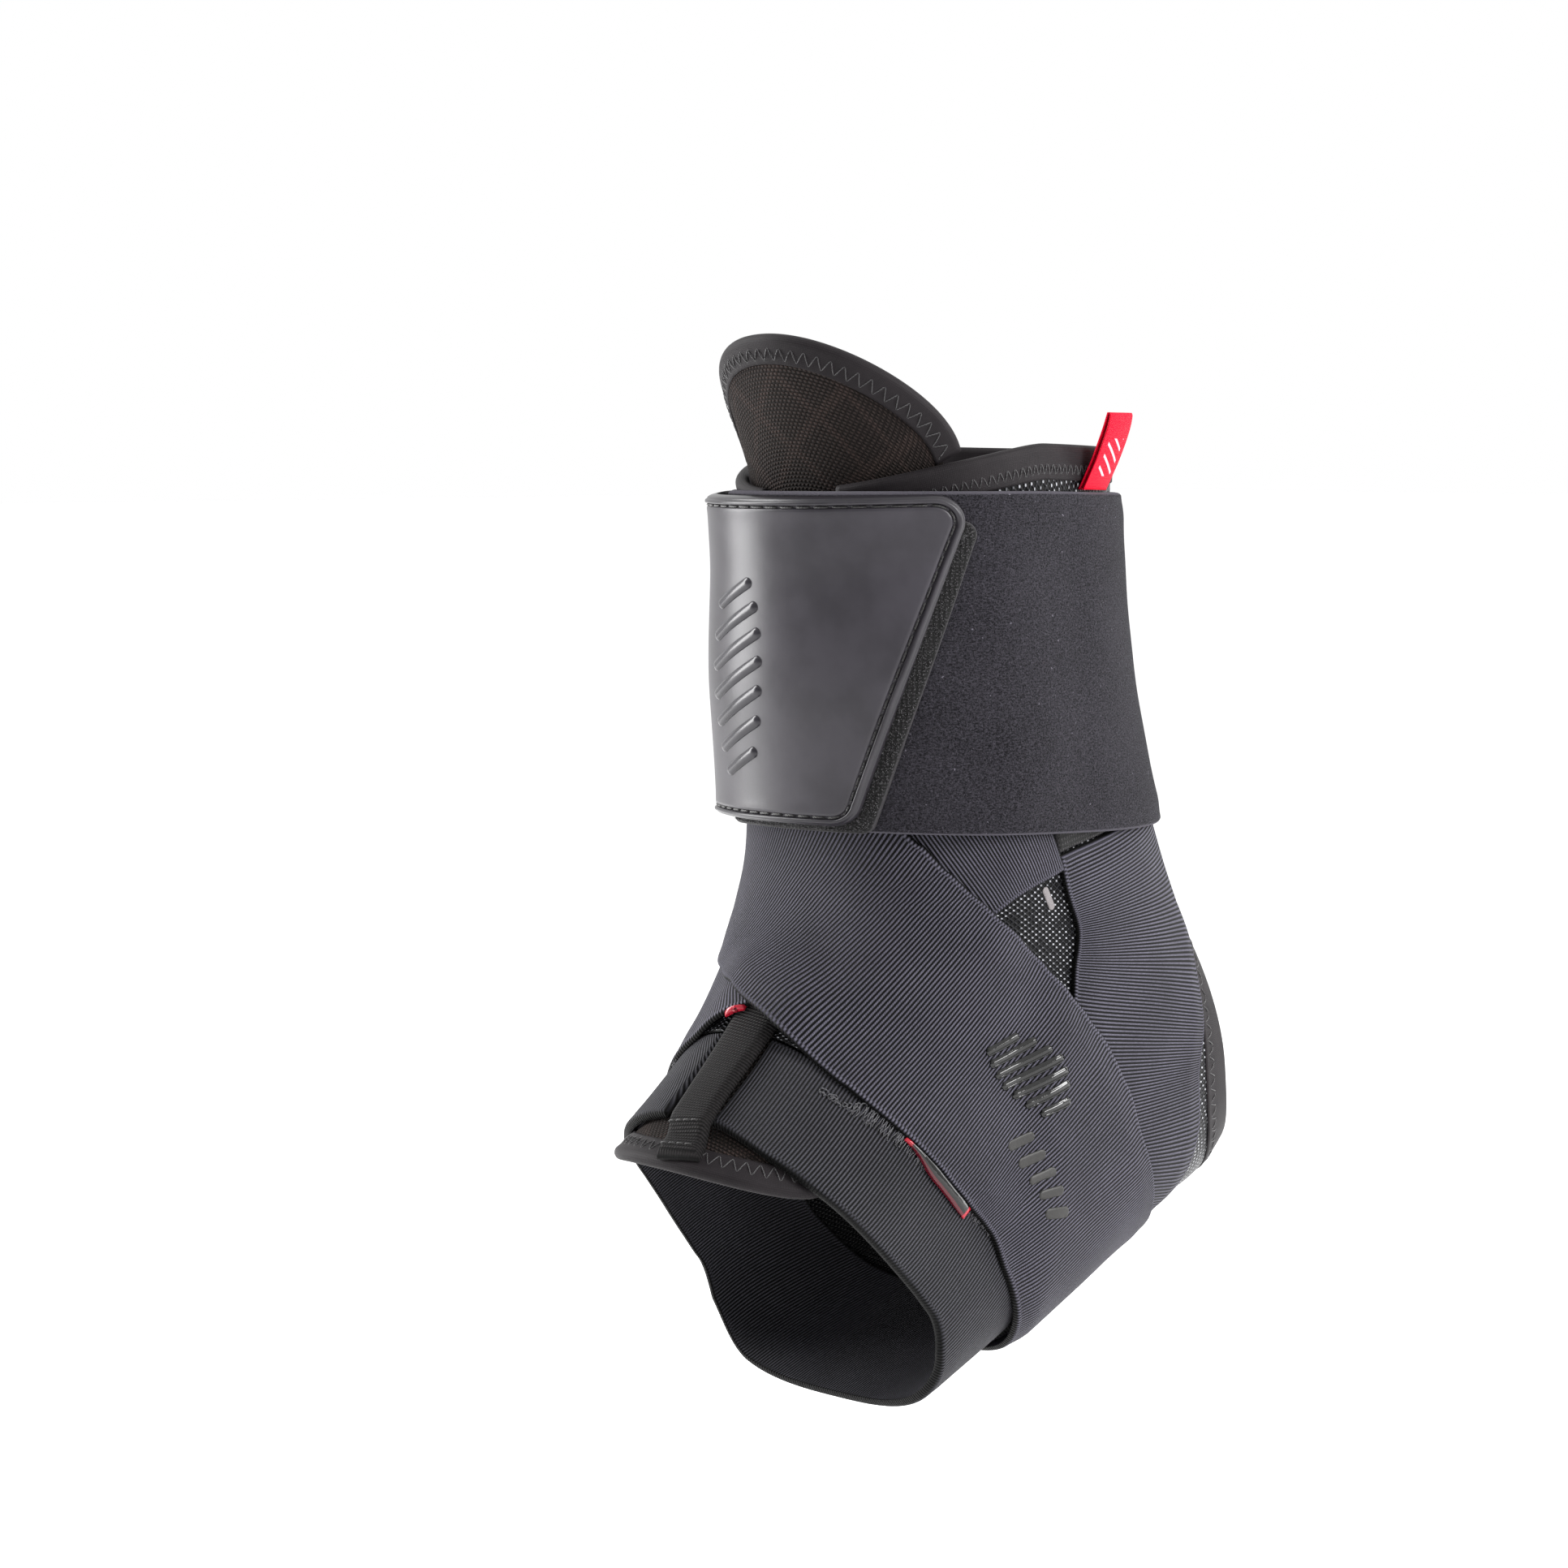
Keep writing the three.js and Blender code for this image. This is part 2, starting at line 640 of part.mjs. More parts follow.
function topBinding() {
  const places = edgePlaces(bodyTopLine, 0);
  const across = spread(topBindingWidth / 2, 2).map((x) => x - topBindingWidth / 2);
  const grid = ribbonGrid(places, across, bodyThickness);
  return sheet(grid, plus(bodyIn, -bindingProud), plus(bodyOut, bindingProud));
}

function heelBinding() {
  const across = spread(heelBindingWidth / 2, 2).map((x) => x - heelBindingWidth / 2);
  const grid = ribbonGrid(heelRing(0), across, bodyThickness, true);
  return sheet(grid, plus(bodyIn, -bindingProud), plus(bodyOut, bindingProud), true);
}

function midfootBand() {
  const seam = edgePlaces(bandLine("seam"), -seamGap);
  const toe = edgePlaces(bandLine("toe"), 0);
  const grid = sharesOf(bandRows).map(({ share }) => blend(seam, toe, share));
  return sheet(grid, bodyIn, bodyOut);
}

// The webbing pull tab, the straps with their hook ends, and the small tags at the straps' edges
function pullTab() {
  const places = placesAlong(pullRun, 0, pullRun.run, clothStep);
  const grid = ribbonGrid(places, spread(pullTabWidth / 2, 2), strapHeight);
  return sheet(grid, pullIn, plus(pullIn, webbingThickness));
}

// A strap and the hook piece that ends it, cut from one ribbon.
function strap(run, height) {
  const stop = run.run - strapEndLength;
  const main = placesAlong(run, 0, stop - seamGap, clothStep);
  const end = placesAlong(run, stop, run.run, clothStep);
  const grid = ribbonGrid([...main, ...end], spread(strapWidth / 2, strapColumns), strapHeight);
  return [grid.slice(0, main.length), grid.slice(main.length)].map((part) => {
    return sheet(part, height, plus(height, strapThickness));
  });
}

function edgeTag(run, tag, height) {
  const places = placesAlong(run, tag.from * run.run, tag.to * run.run, clothStep / 2);
  const middle = (strapWidth / 2 + seamGap + tag.width / 2) * tag.side;
  const across = spread(tag.width / 2, 1).map((x) => x + middle);
  return sheet(ribbonGrid(places, across, strapHeight), height, plus(height, tagThickness));
}

// The cuff, and a chart on it: millimetres along its middle from the shin, and across it upwards
function cuffLine(share) {
  return { level: cuffMiddle, angle: THREE.MathUtils.lerp(cuffFrom, cuffTo, share) };
}

function cuffBand() {
  const run = walk(cuffLine, cuffLift);
  const places = placesAlong(run, 0, run.run, clothStep);
  const grid = ribbonGrid(places, spread(cuffHeight / 2, cuffColumns), cuffLift);
  return sheet(grid, cuffIn, cuffOut);
}

function chartLine(share) {
  return { level: cuffMiddle, angle: THREE.MathUtils.lerp(-chartTurn, chartTurn, share) };
}

function atAngle(dense, angle) {
  return dense.find((place) => place.angle >= angle) || dense[dense.length - 1];
}

const chartRun = walk(chartLine, cuffLift);
const chartMiddle = atAngle(chartRun.dense, 0).run;

function onCuff(along, across) {
  const place = atRun(chartRun.dense, chartMiddle + along);
  const next = atRun(chartRun.dense, chartMiddle + along + 1);
  const heading = lifted(next, cuffLift).sub(lifted(place, cuffLift)).normalize();
  const side = formNormal(place.level, place.angle).cross(heading);
  return slide(place, side, across, cuffLift);
}

const cuffTop = cuffHeight / 2;
const slant = (tabTopReach - tabBottomReach) / cuffHeight;

// Places on the cuff in a plate's outline: upright at the back, slanted at the front, its corners rounded.
function plateGrid(plate, alongSteps, acrossSteps) {
  return acrossSteps.map((across) => {
    const fromEdge = Math.min(across - plate.low, plate.high - across);
    const short = Math.max(0, plate.corner - fromEdge);
    const tuck = plate.corner - Math.sqrt(plate.corner ** 2 - short ** 2);
    const from = -plate.back + tuck;
    const to = tabBottomReach + (across + cuffTop) * slant + plate.border - tuck;
    return alongSteps.map((step) => {
      const forward = from + step.share * (to - from) + (step.fromStart || 0);
      const along = step.fromEnd ? to - step.fromEnd : forward;
      return { ...onCuff(along, across), onRim: step.onRim || fromEdge < rimWidth + rimReach };
    });
  });
}

const tabPlate = {
  low: tabShort - cuffTop,
  high: cuffTop,
  back: tabBackReach,
  border: 0,
  corner: tabCorner,
};
const padPlate = {
  low: -cuffTop,
  high: cuffTop - hookTopDrop,
  back: hookBackReach,
  border: hookBorder,
  corner: tabCorner / 2,
};

// Steps over a plate from one edge to the other, with extra ones at each edge.
function acrossPlate(plate, edges, count) {
  const inner = edges[edges.length - 1];
  const rise = plate.high - plate.low - 2 * inner;
  const middle = Array.from({ length: count - 1 }, (_, k) => plate.low + inner + (rise * (k + 1)) / count);
  return [...edges.map((e) => plate.low + e), ...middle, ...edges.map((e) => plate.high - e).reverse()];
}

function sharesOf(count) {
  return Array.from({ length: count + 1 }, (_, k) => ({ share: k / count }));
}

function tabIn(place) {
  const run = atAngle(chartRun.dense, place.angle).run - chartMiddle;
  const onHook = THREE.MathUtils.smoothstep(run, -hookBackReach - rampEnd, -hookBackReach - rampStart);
  return cuffOut(place) + layerGap + onHook * (hookThickness + layerGap);
}

function plateOut(place) {
  return tabIn(place) + tabThickness;
}

function closureTab() {
  const inner = rimWidth + rimSlope;
  const middle = sharesOf(tabColumns).slice(1, -1);
  const alongSteps = [
    { share: 0, onRim: true },
    { share: 0, fromStart: rimWidth, onRim: true },
    { share: 0, fromStart: inner },
    ...middle,
    { fromEnd: inner },
    { fromEnd: rimWidth, onRim: true },
    { share: 1, onRim: true },
  ];
  const edges = [0, rimWidth / 2, rimWidth, inner, tabCorner];
  const grid = plateGrid(tabPlate, alongSteps, acrossPlate(tabPlate, edges, tabRows));
  let solid = solidOf(sheet(grid, tabIn, (place) => plateOut(place) + (place.onRim ? rimHeight : 0)));
  for (let k = 0; k < ridgeCount; k += 1) solid = solid.add(solidOf(ridge(k)));
  return geometryOf(solid);
}

// One of the slanted grip ridges, which make a lens shape together.
function ridge(k) {
  const place = k - (ridgeCount - 1) / 2;
  const half = (ridgeLength / 2) * Math.sqrt(1 - (place / (ridgeCount / 2 + 0.5)) ** 2);
  const middle = new THREE.Vector2(ridgeCentre.along, ridgeCentre.across + place * ridgeSpacing);
  const lean = new THREE.Vector2(Math.cos(degrees(ridgeLean)), Math.sin(degrees(ridgeLean)));
  const beside = new THREE.Vector2(-lean.y, lean.x);
  const grid = spread(half, 3).map((along) => spread(ridgeWidth / 2, 1).map((across) => {
    const point = middle.clone().addScaledVector(lean, along).addScaledVector(beside, across);
    return onCuff(point.x, point.y);
  }));
  return sheet(grid, plus(plateOut, -ridgeHeight), plus(plateOut, ridgeHeight));
}

function hookPad() {
  const steps = acrossPlate(padPlate, [0, padPlate.corner], padRows);
  const grid = plateGrid(padPlate, sharesOf(padColumns), steps);
  const bottom = plus(cuffOut, layerGap);
  return sheet(grid, bottom, plus(bottom, hookThickness));
}

// The folded ribbon label that stands on the body's top binding behind the ankle
function rearLabel() {
  const along = atAngle(chartRun.dense, labelAngle).run - chartMiddle;
  const foot = cuffTop + seamGap * 2;
  const grid = sharesOf(labelRows).map(({ share }) => {
    const rise = labelHeight * share;
    return spread(labelWidth / 2, 2).map((x) => ({ ...onCuff(along + x, foot + rise), rise }));
  });
  const bottom = (place) => bodyOut(place) + bindingProud + layerGap + place.rise * labelLean;
  return sheet(grid, bottom, plus(bottom, tagThickness));
}

const [underStrap, underEnd] = strap(underRun, aboveBody);
const [overStrap, overEnd] = strap(overRun, overIn);
const PIECES = [
  ["tongue", tonguePanel(), 0x2a2725, 0.95, 0],
  ["tongue_top_binding", tongueBinding(tongueTop), 0x1d1d20, 0.8, 0],
  ["tongue_toe_binding", tongueBinding(tongueToe), 0x1d1d20, 0.8, 0],
  ["body_shell", bodyShell(), 0x18181a, 0.7, 0],
  ["top_binding", topBinding(), 0x1d1d20, 0.8, 0],
  ["heel_binding", heelBinding(), 0x1d1d20, 0.8, 0],
  ["midfoot_band", midfootBand(), 0x1c1c1e, 0.85, 0],
  ["pull_tab", pullTab(), 0x232120, 0.75, 0],
  ["under_strap", underStrap, 0x29292d, 0.85, 0],
  ["under_strap_end", underEnd, 0x101012, 0.98, 0],
  ["over_strap", overStrap, 0x2b2b30, 0.85, 0],
  ["over_strap_end", overEnd, 0x101012, 0.98, 0],
  ["side_tag", edgeTag(overRun, sideTag, aboveBody), 0x8a1520, 0.4, 0],
  ["front_tag", edgeTag(underRun, frontTag, aboveBody), 0xb01525, 0.5, 0],
  ["cuff_band", cuffBand(), 0x2a2a2c, 0.95, 0],
  ["hook_pad", hookPad(), 0x121213, 0.98, 0],
  ["closure_tab", closureTab(), 0x4b4b4e, 0.45, 0],
  ["rear_label", rearLabel(), 0xc8102e, 0.5, 0],
];

const group = new THREE.Group();
for (const [name, geometry, color, roughness, metalness] of PIECES) {
  const mesh = new THREE.Mesh(geometry, new THREE.MeshStandardMaterial({ color, roughness, metalness }));
  mesh.name = name;
  group.add(mesh);
}

export default group;
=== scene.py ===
# The looks of a wrap-around ankle brace for a left foot, in the form it has when worn with the heel lifted.
# Each cloth layer is laid finely over the same leg-and-foot form that its solid was made on.
# Sizes are in millimetres, and MM turns them into metres. +Z is up, the toes are towards -Y.
import math

import bpy
import numpy as np
from mathutils import Matrix, Vector

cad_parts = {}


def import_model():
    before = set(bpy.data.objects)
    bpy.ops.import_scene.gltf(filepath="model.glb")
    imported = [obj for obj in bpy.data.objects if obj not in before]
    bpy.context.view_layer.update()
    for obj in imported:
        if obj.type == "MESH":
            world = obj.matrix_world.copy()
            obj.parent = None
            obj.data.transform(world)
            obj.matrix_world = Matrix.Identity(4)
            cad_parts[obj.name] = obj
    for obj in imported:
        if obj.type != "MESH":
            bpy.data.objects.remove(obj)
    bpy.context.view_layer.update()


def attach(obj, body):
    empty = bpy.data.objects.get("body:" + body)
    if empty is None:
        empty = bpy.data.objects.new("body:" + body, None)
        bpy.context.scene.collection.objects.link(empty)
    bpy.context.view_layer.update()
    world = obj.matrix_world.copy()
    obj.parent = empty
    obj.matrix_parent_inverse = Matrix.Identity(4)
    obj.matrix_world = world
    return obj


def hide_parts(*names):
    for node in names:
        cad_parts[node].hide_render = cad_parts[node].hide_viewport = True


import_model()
MM = 0.001

# The form inside the brace
ANKLE_DEPTH = 75.0
ANKLE_WIDTH = 66.0
LEG_RISE = 190.0
FOOT_REACH = 129.0
FOOT_DROP = 119.0
FOOT_WIDTH = 89.0

# The cloth
TONGUE_THICKNESS = 2.8
BODY_THICKNESS = 2.0
BINDING_PROUD = 0.4
STRAP_THICKNESS = 1.3
CUFF_THICKNESS = 1.8
HOOK_THICKNESS = 1.2
WEBBING_THICKNESS = 1.5
TAG_THICKNESS = 1.5
LAYER_GAP = 0.65  # between one layer's solid and the next
SINK = 0.57  # how much of that gap a layer closes at its edges
SEAM_GAP = 0.45

# Widths and lengths
TONGUE_BINDING_WIDTH = 6.5
TOP_BINDING_WIDTH = 7.5
HEEL_BINDING_WIDTH = 10.5
STRAP_WIDTH = 49.0
STRAP_END_LENGTH = 30.0
CUFF_HEIGHT = 73.0
PULL_TAB_WIDTH = 10.0
LABEL_WIDTH = 12.0
LABEL_HEIGHT = 17.0

# The moulded closure tab, measured along the cuff from the middle of the shin
TAB_TOP_REACH = 42.5
TAB_BOTTOM_REACH = 20.0
TAB_BACK_REACH = 50.0
TAB_SHORT = 1.8
TAB_CORNER = 6.0
TAB_THICKNESS = 1.8
HOOK_BORDER = 3.6
HOOK_TOP_DROP = 6.0
HOOK_BACK_REACH = 18.0

# Sections of the form from the top down, as shares of the sizes above. Columns: front out, front up,
# back out, back up, outer, inner, widest, front power, back power.
FRONT_OUT, FRONT_UP, BACK_OUT, BACK_UP, OUTER, INNER, WIDEST, FRONT_POWER, BACK_POWER = range(9)
LEG_ROWS = [
    [0.93, 1.0, -0.39, 0.97, 0.68, 0.65, 0.52, 2.1, 2.1],
    [0.73, 0.685, -0.45, 0.665, 0.545, 0.56, 0.52, 2.1, 2.0],
    [0.575, 0.5, -0.44, 0.485, 0.5, 0.485, 0.5, 2.1, 2.0],
    [0.515, 0.29, -0.465, 0.275, 0.5, 0.475, 0.5, 2.1, 2.0],
    [0.48, 0.115, -0.63, 0.07, 0.53, 0.5, 0.46, 2.1, 2.0],
    [0.53, 0.025, -0.845, -0.065, 0.545, 0.52, 0.42, 2.1, 2.0],
]
FOOT_ROWS = [
    [0.37, -0.075, -0.61, -0.31, 0.395, 0.395, 0.42, 2.1, 2.0],
    [0.44, -0.175, -0.51, -0.48, 0.38, 0.38, 0.48, 2.1, 2.2],
    [0.525, -0.27, -0.28, -0.565, 0.395, 0.395, 0.55, 2.1, 2.4],
    [0.625, -0.355, -0.025, -0.69, 0.415, 0.405, 0.62, 2.1, 2.5],
    [0.765, -0.43, 0.265, -0.83, 0.45, 0.43, 0.66, 2.1, 2.6],
    [1.0, -0.565, 0.605, -1.0, 0.505, 0.495, 0.66, 2.1, 2.5],
]

# Places on the form: a level counts rows from the top, an angle in degrees runs from the front (0)
# over the outer side (90) to the back or the sole (180).
TONGUE_TOP = {"level": 1.02, "angle": 6, "fall": 0.72, "half": 57, "turn": 1}
TONGUE_TOE = {"level": 9.33, "angle": 6, "fall": 0.4, "half": 44, "turn": -1}
BODY_TOP = {"back": 1.62, "front": 1.94, "power": 1.3}
THROAT_OUTER = {"top": 22, "toe": 13}
THROAT_INNER = {"top": -8, "toe": -3}
HEEL_HOLE = {"level": 5.75, "half_level": 0.98, "half_angle": 44, "squareness": 0.78, "egg": 0.14}
CUFF_MIDDLE = 2.86
CUFF_FROM = -30
CUFF_TO = 310
STRAPS_END = {"two": 48, "one": 85, "last": 150, "none": 172, "top": 1.7, "full": 3.1}
LABEL_ANGLE = 109
LABEL_LEAN = 0.3
LABEL_SLANT = 0.12
LABEL_THICKNESS = 0.32
PULL_DROP = (8.65, 9.0)
SIDE_TAG = {"from": 0.302, "to": 0.364, "width": 2.8, "side": -1, "taper": 12.0}
FRONT_TAG = {"from": 0.189, "to": 0.202, "width": 1.3, "side": 1, "taper": 0.5}

# Angle, seam level and toe level of the midfoot band
BAND_ROWS = [
    [13, 7.05, 8.58],
    [32, 7.3, 8.82],
    [58, 7.8, 9.15],
    [83, 8.3, 9.43],
    [107, 8.75, 9.73],
    [140, 8.95, 9.95],
    [180, 9.0, 10.0],
    [220, 8.95, 9.95],
    [253, 8.7, 9.7],
    [277, 8.3, 9.4],
    [302, 7.85, 9.1],
    [330, 7.35, 8.85],
    [357, 7.1, 8.6],
]

# Angle, level of the over strap's middle and level of the under strap's, from start to hook end
STRAP_ROWS = [
    [-75, 3.45, 3.45],
    [-50, 3.65, 3.7],
    [-25, 4.1, 4.2],
    [3, 4.75, 5.0],
    [26, 5.45, 5.8],
    [45, 6.0, 6.4],
    [65, 6.6, 7.0],
    [86, 7.4, 7.7],
    [104, 8.1, 8.3],
    [135, 8.55, 8.7],
    [180, 8.65, 8.8],
    [215, 8.4, 8.5],
    [235, 8.0, 8.1],
    [248, 7.4, 7.4],
    [258, 6.5, 6.5],
    [254, 5.4, 5.4],
    [247, 4.5, 4.5],
    [248, 3.85, 3.85],
    [248, 3.0, 3.0],
]

# Angle and level of the pull tab's middle
PULL_ROWS = [
    [7, 6.4],
    [6.5, 7.2],
    [7, 8.0],
    [9, 8.7],
    [13, 9.25],
]

# How fine the meshes and the walks over the form are
LEVEL_STEP = 0.02
ANGLE_STEP = 1.5
SLIDE_STEP = 6.0
WALK_STEPS = 480
COVER_STEP = 1.0
CLOTH_STEP = 1.3
AROUND_STEPS = 260
BODY_STEPS = 150
TONGUE_STEPS = (120, 58)
BINDING_STEP = 0.9
RIB_REACH = 13.0  # along a strap, for the direction of its ribs
TAPE_THICKNESS = 0.5
ROUNDED_REACH = 0.55  # the width of a cloth's rounded rim, as a share of its thickness
CUT_EDGE = 0.22  # how thick it is at the very edge, as such a share
WAVE_COUNT = 5
WAVE_LENGTHS = (16, 45)
SEAM_INSET = 2.3
SEAM_REACH = 1.3
SEAM_DEPTH = 0.16
LIP_DEPTH = 0.22
PULL_SEAMS = (2.2, 7.6)  # from the pull tab's lower end
PULL_FOLD = 0.7
STITCH_SHARES = (0, 0.06, 0.2, 0.5, 0.8, 0.94, 1.0)
OVERLOCK_TRIM = 15
OVERLOCK_PITCH = 0.72
OVERLOCK_WIDTH = 4.4
OVERLOCK_START = -6.6
HOOK_COUNT = 5200
HOOK_INWARD = (0.55, 5.2)
HOOK_LENGTH = 0.6
HOOK_RADIUS = 0.12
EDGE_STEPS = (0, 0.1, 0.25, 0.45, 0.7, 1.0, 1.5, 2.2, 3.2)
LINING_MARK = 1000.0
RAMP_START = 0.6
RAMP_END = 14.0
TONGUE_RAMP = 22.0
CUFF_LIFT = 8.0
CHART_TURN = 150


def unit(vectors):
    return vectors / np.linalg.norm(vectors, axis=-1, keepdims=True)


def dot(a, b):
    return (a * b).sum(-1)


def smooth(value, low, high):
    share = np.clip((value - low) / (high - low), 0, 1)
    return share * share * (3 - 2 * share)


def mixed(a, b, share):
    return a + (b - a) * share


def between(rows, at):
    """Catmull-Rom between the rows of a table, at whole or broken row numbers."""
    last = len(rows) - 1
    at = np.asarray(at, float)
    row = np.clip(np.floor(at).astype(int), 0, last - 1)
    t = (at - row)[..., None]
    a, b, c, d = (rows[np.clip(row + k, 0, last)] for k in (-1, 0, 1, 2))
    bend = (2 * a - 5 * b + 4 * c - d) * t**2 + (3 * b - a - 3 * c + d) * t**3
    return 0.5 * (2 * b + (c - a) * t + bend)


def looked_up(rows, value):
    """The same, at values of the table's first column, which rises."""
    first = rows[:, 0]
    row = np.clip(np.searchsorted(first, value) - 1, 0, len(first) - 2)
    return between(rows, row + (value - first[row]) / (first[row + 1] - first[row]))


def sized(rows, depth, rise, width):
    return np.array(rows) * [depth, rise, depth, rise, width, width, 1, 1, 1]


FORM = np.vstack([
    sized(LEG_ROWS, ANKLE_DEPTH, LEG_RISE, ANKLE_WIDTH),
    sized(FOOT_ROWS, FOOT_REACH, FOOT_DROP, FOOT_WIDTH),
])


def places(level, angle):
    return np.stack(np.broadcast_arrays(level, angle), -1).astype(float)


def form_point(place):
    """A point of the form: a rounded section between the row's front and back points."""
    row = between(FORM, place[..., 0])
    turn = np.radians(place[..., 1])
    cos, sin = np.cos(turn), np.sin(turn)
    power = 2 / np.where(cos > 0, row[..., FRONT_POWER], row[..., BACK_POWER])
    ahead = np.sign(cos) * np.abs(cos) ** power
    beside = np.sign(sin) * np.abs(sin) ** power
    widest = row[..., WIDEST]
    share = np.where(ahead > 0, widest * (1 - ahead), widest - (1 - widest) * ahead)
    out = mixed(row[..., FRONT_OUT], row[..., BACK_OUT], share)
    up = mixed(row[..., FRONT_UP], row[..., BACK_UP], share)
    half = np.where(beside > 0, row[..., OUTER], row[..., INNER])
    return np.stack([beside * half, -out, up], -1)


def form_normal(place):
    down = form_point(place + [LEVEL_STEP, 0]) - form_point(place - [LEVEL_STEP, 0])
    around = form_point(place + [0, ANGLE_STEP]) - form_point(place - [0, ANGLE_STEP])
    return unit(np.cross(down, around))


def lifted(place, height):
    """Points at a height above the form."""
    height = np.broadcast_to(height, place.shape[:-1])
    return form_point(place) + form_normal(place) * height[..., None]


def slide(place, heading, distance, height):
    """The places reached by going a distance over the form in a heading."""
    steps = max(1, math.ceil(np.abs(distance).max() / SLIDE_STEP))
    place = np.array(place, float)
    ahead = heading
    for _ in range(steps):
        down = lifted(place + [LEVEL_STEP, 0], height) - lifted(place - [LEVEL_STEP, 0], height)
        around = lifted(place + [0, ANGLE_STEP], height) - lifted(place - [0, ANGLE_STEP], height)
        down /= 2 * LEVEL_STEP
        around /= 2 * ANGLE_STEP
        normal = unit(np.cross(down, around))
        ahead = unit(ahead - dot(ahead, normal)[..., None] * normal)
        move = ahead * (distance / steps)[..., None]
        dd, dr, rr = dot(down, down), dot(down, around), dot(around, around)
        det = dd * rr - dr * dr
        along, beside = dot(move, down), dot(move, around)
        place[..., 0] += (along * rr - beside * dr) / det
        place[..., 1] += (beside * dd - along * dr) / det
    return place


def walked(points):
    """The millimetres walked along a row of points."""
    return np.concatenate([[0], np.cumsum(np.linalg.norm(np.diff(points, axis=0), axis=1))])


def traced(rows, runs, at):
    """The rows of a table read at a run, where each row has its own."""
    return np.stack([np.interp(at, runs, column) for column in rows.T], -1)


class Line:
    """A line over the form, given by a route from 0 to 1, and measured at a height above the form."""

    def __init__(self, route, height, closed=False):
        self.places = route(np.linspace(0, 1, WALK_STEPS + 1))
        self.height = height
        self.closed = closed
        self.runs = walked(lifted(self.places, height))
        self.length = self.runs[-1]

    def at(self, run):
        run = np.mod(run, self.length) if self.closed else np.clip(run, 0, self.length)
        return traced(self.places, self.runs, run)

    def heading(self, run, reach=SLIDE_STEP):
        ahead = lifted(self.at(run + reach), self.height)
        return unit(ahead - lifted(self.at(run - reach), self.height))

    def beside(self, run, across, reach=SLIDE_STEP):
        """Places a distance to the side of the line, at paired runs and distances."""
        run, across = np.broadcast_arrays(np.asarray(run, float), np.asarray(across, float))
        middle = self.at(run)
        side = np.cross(form_normal(middle), self.heading(run, reach))
        return slide(middle, side, across, self.height)

    def strip(self, runs, across):
        """A grid of places: one row for each run, one column for each distance across."""
        return self.beside(*np.meshgrid(runs, across, indexing="ij"))


class Cover:
    """The ground that a ribbon covers, as points of its middle line and a half width."""

    def __init__(self, line, width):
        self.points = lifted(line.at(np.arange(0, line.length, COVER_STEP)), line.height)
        self.tangents = unit(np.gradient(self.points, axis=0))
        self.half = width / 2
        self.height = line.height

    def outside(self, place):
        """How far places lie outside the ribbon."""
        points = lifted(place, self.height).reshape(-1, 3)
        at = nearest(points, self.points)
        away = points - self.points[at]
        along = dot(away, self.tangents[at])
        beside = np.sqrt(np.maximum(0, dot(away, away) - along**2))
        last = len(self.points) - 1
        past = np.where(at == 0, -along, np.where(at == last, along, 0)).clip(0)
        return np.hypot(past, (beside - self.half).clip(0)).reshape(place.shape[:-1])


def nearest(points, others):
    """For each point, the number of the nearest of some others."""
    found = []
    for part in np.array_split(points, len(points) // 4000 + 1):
        found.append((dot(others, others) - 2 * part @ others.T).argmin(1))
    return np.concatenate(found)


def fade(excess):
    return 1 - smooth(excess, RAMP_START, RAMP_END)


def short_turn(angle):
    return (angle + 540) % 360 - 180


# Heights of the layers above the form
STRAP_HEIGHT = TONGUE_THICKNESS + BODY_THICKNESS + LAYER_GAP * 2
TONGUE_FULL = TONGUE_THICKNESS + BINDING_PROUD


def tongue_cover(place):
    level, angle = place[..., 0], place[..., 1]
    share = np.clip((level - TONGUE_TOP["level"]) / (TONGUE_TOE["level"] - TONGUE_TOP["level"]), 0, 1)
    middle = mixed(TONGUE_TOP["angle"], TONGUE_TOE["angle"], share)
    half = mixed(TONGUE_TOP["half"], TONGUE_TOE["half"], share)
    turn = np.abs(short_turn(angle - middle)) - half
    outer = between(FORM, np.clip(level, 0, len(FORM) - 1))[..., OUTER]
    return 1 - smooth((np.radians(turn) * outer).clip(0), 0.6, TONGUE_RAMP)


def strap_route(column, turn):
    rows = np.array(STRAP_ROWS, float)

    def route(share):
        row = between(rows, share * (len(rows) - 1))
        return places(row[..., column], turn * row[..., 0])

    return route


def pull_route(share):
    rows = np.array(PULL_ROWS, float)
    row = between(rows, share * (len(rows) - 1))
    return places(row[..., 1], row[..., 0])


def heel_route(share):
    turn = 2 * np.pi * share
    side = np.sign(np.sin(turn)) * np.abs(np.sin(turn)) ** HEEL_HOLE["squareness"]
    wide = 1 + HEEL_HOLE["egg"] * np.cos(turn)
    level = HEEL_HOLE["level"] + HEEL_HOLE["half_level"] * np.cos(turn)
    return places(level, 180 + HEEL_HOLE["half_angle"] * wide * side)


over_line = Line(strap_route(1, 1), STRAP_HEIGHT)
under_line = Line(strap_route(2, -1), STRAP_HEIGHT)
pull_line = Line(pull_route, STRAP_HEIGHT)
heel_line = Line(heel_route, BODY_THICKNESS, closed=True)
under_cover = Cover(under_line, STRAP_WIDTH)
pull_cover = Cover(pull_line, PULL_TAB_WIDTH)
heel_cover = Cover(heel_line, 0)


def body_in(place):
    return LAYER_GAP + tongue_cover(place) * TONGUE_FULL


def body_out(place):
    return body_in(place) + BODY_THICKNESS


def pull_in(place):
    freed = smooth(place[..., 0], *PULL_DROP)
    return mixed(body_out(place), TONGUE_FULL, freed) + LAYER_GAP


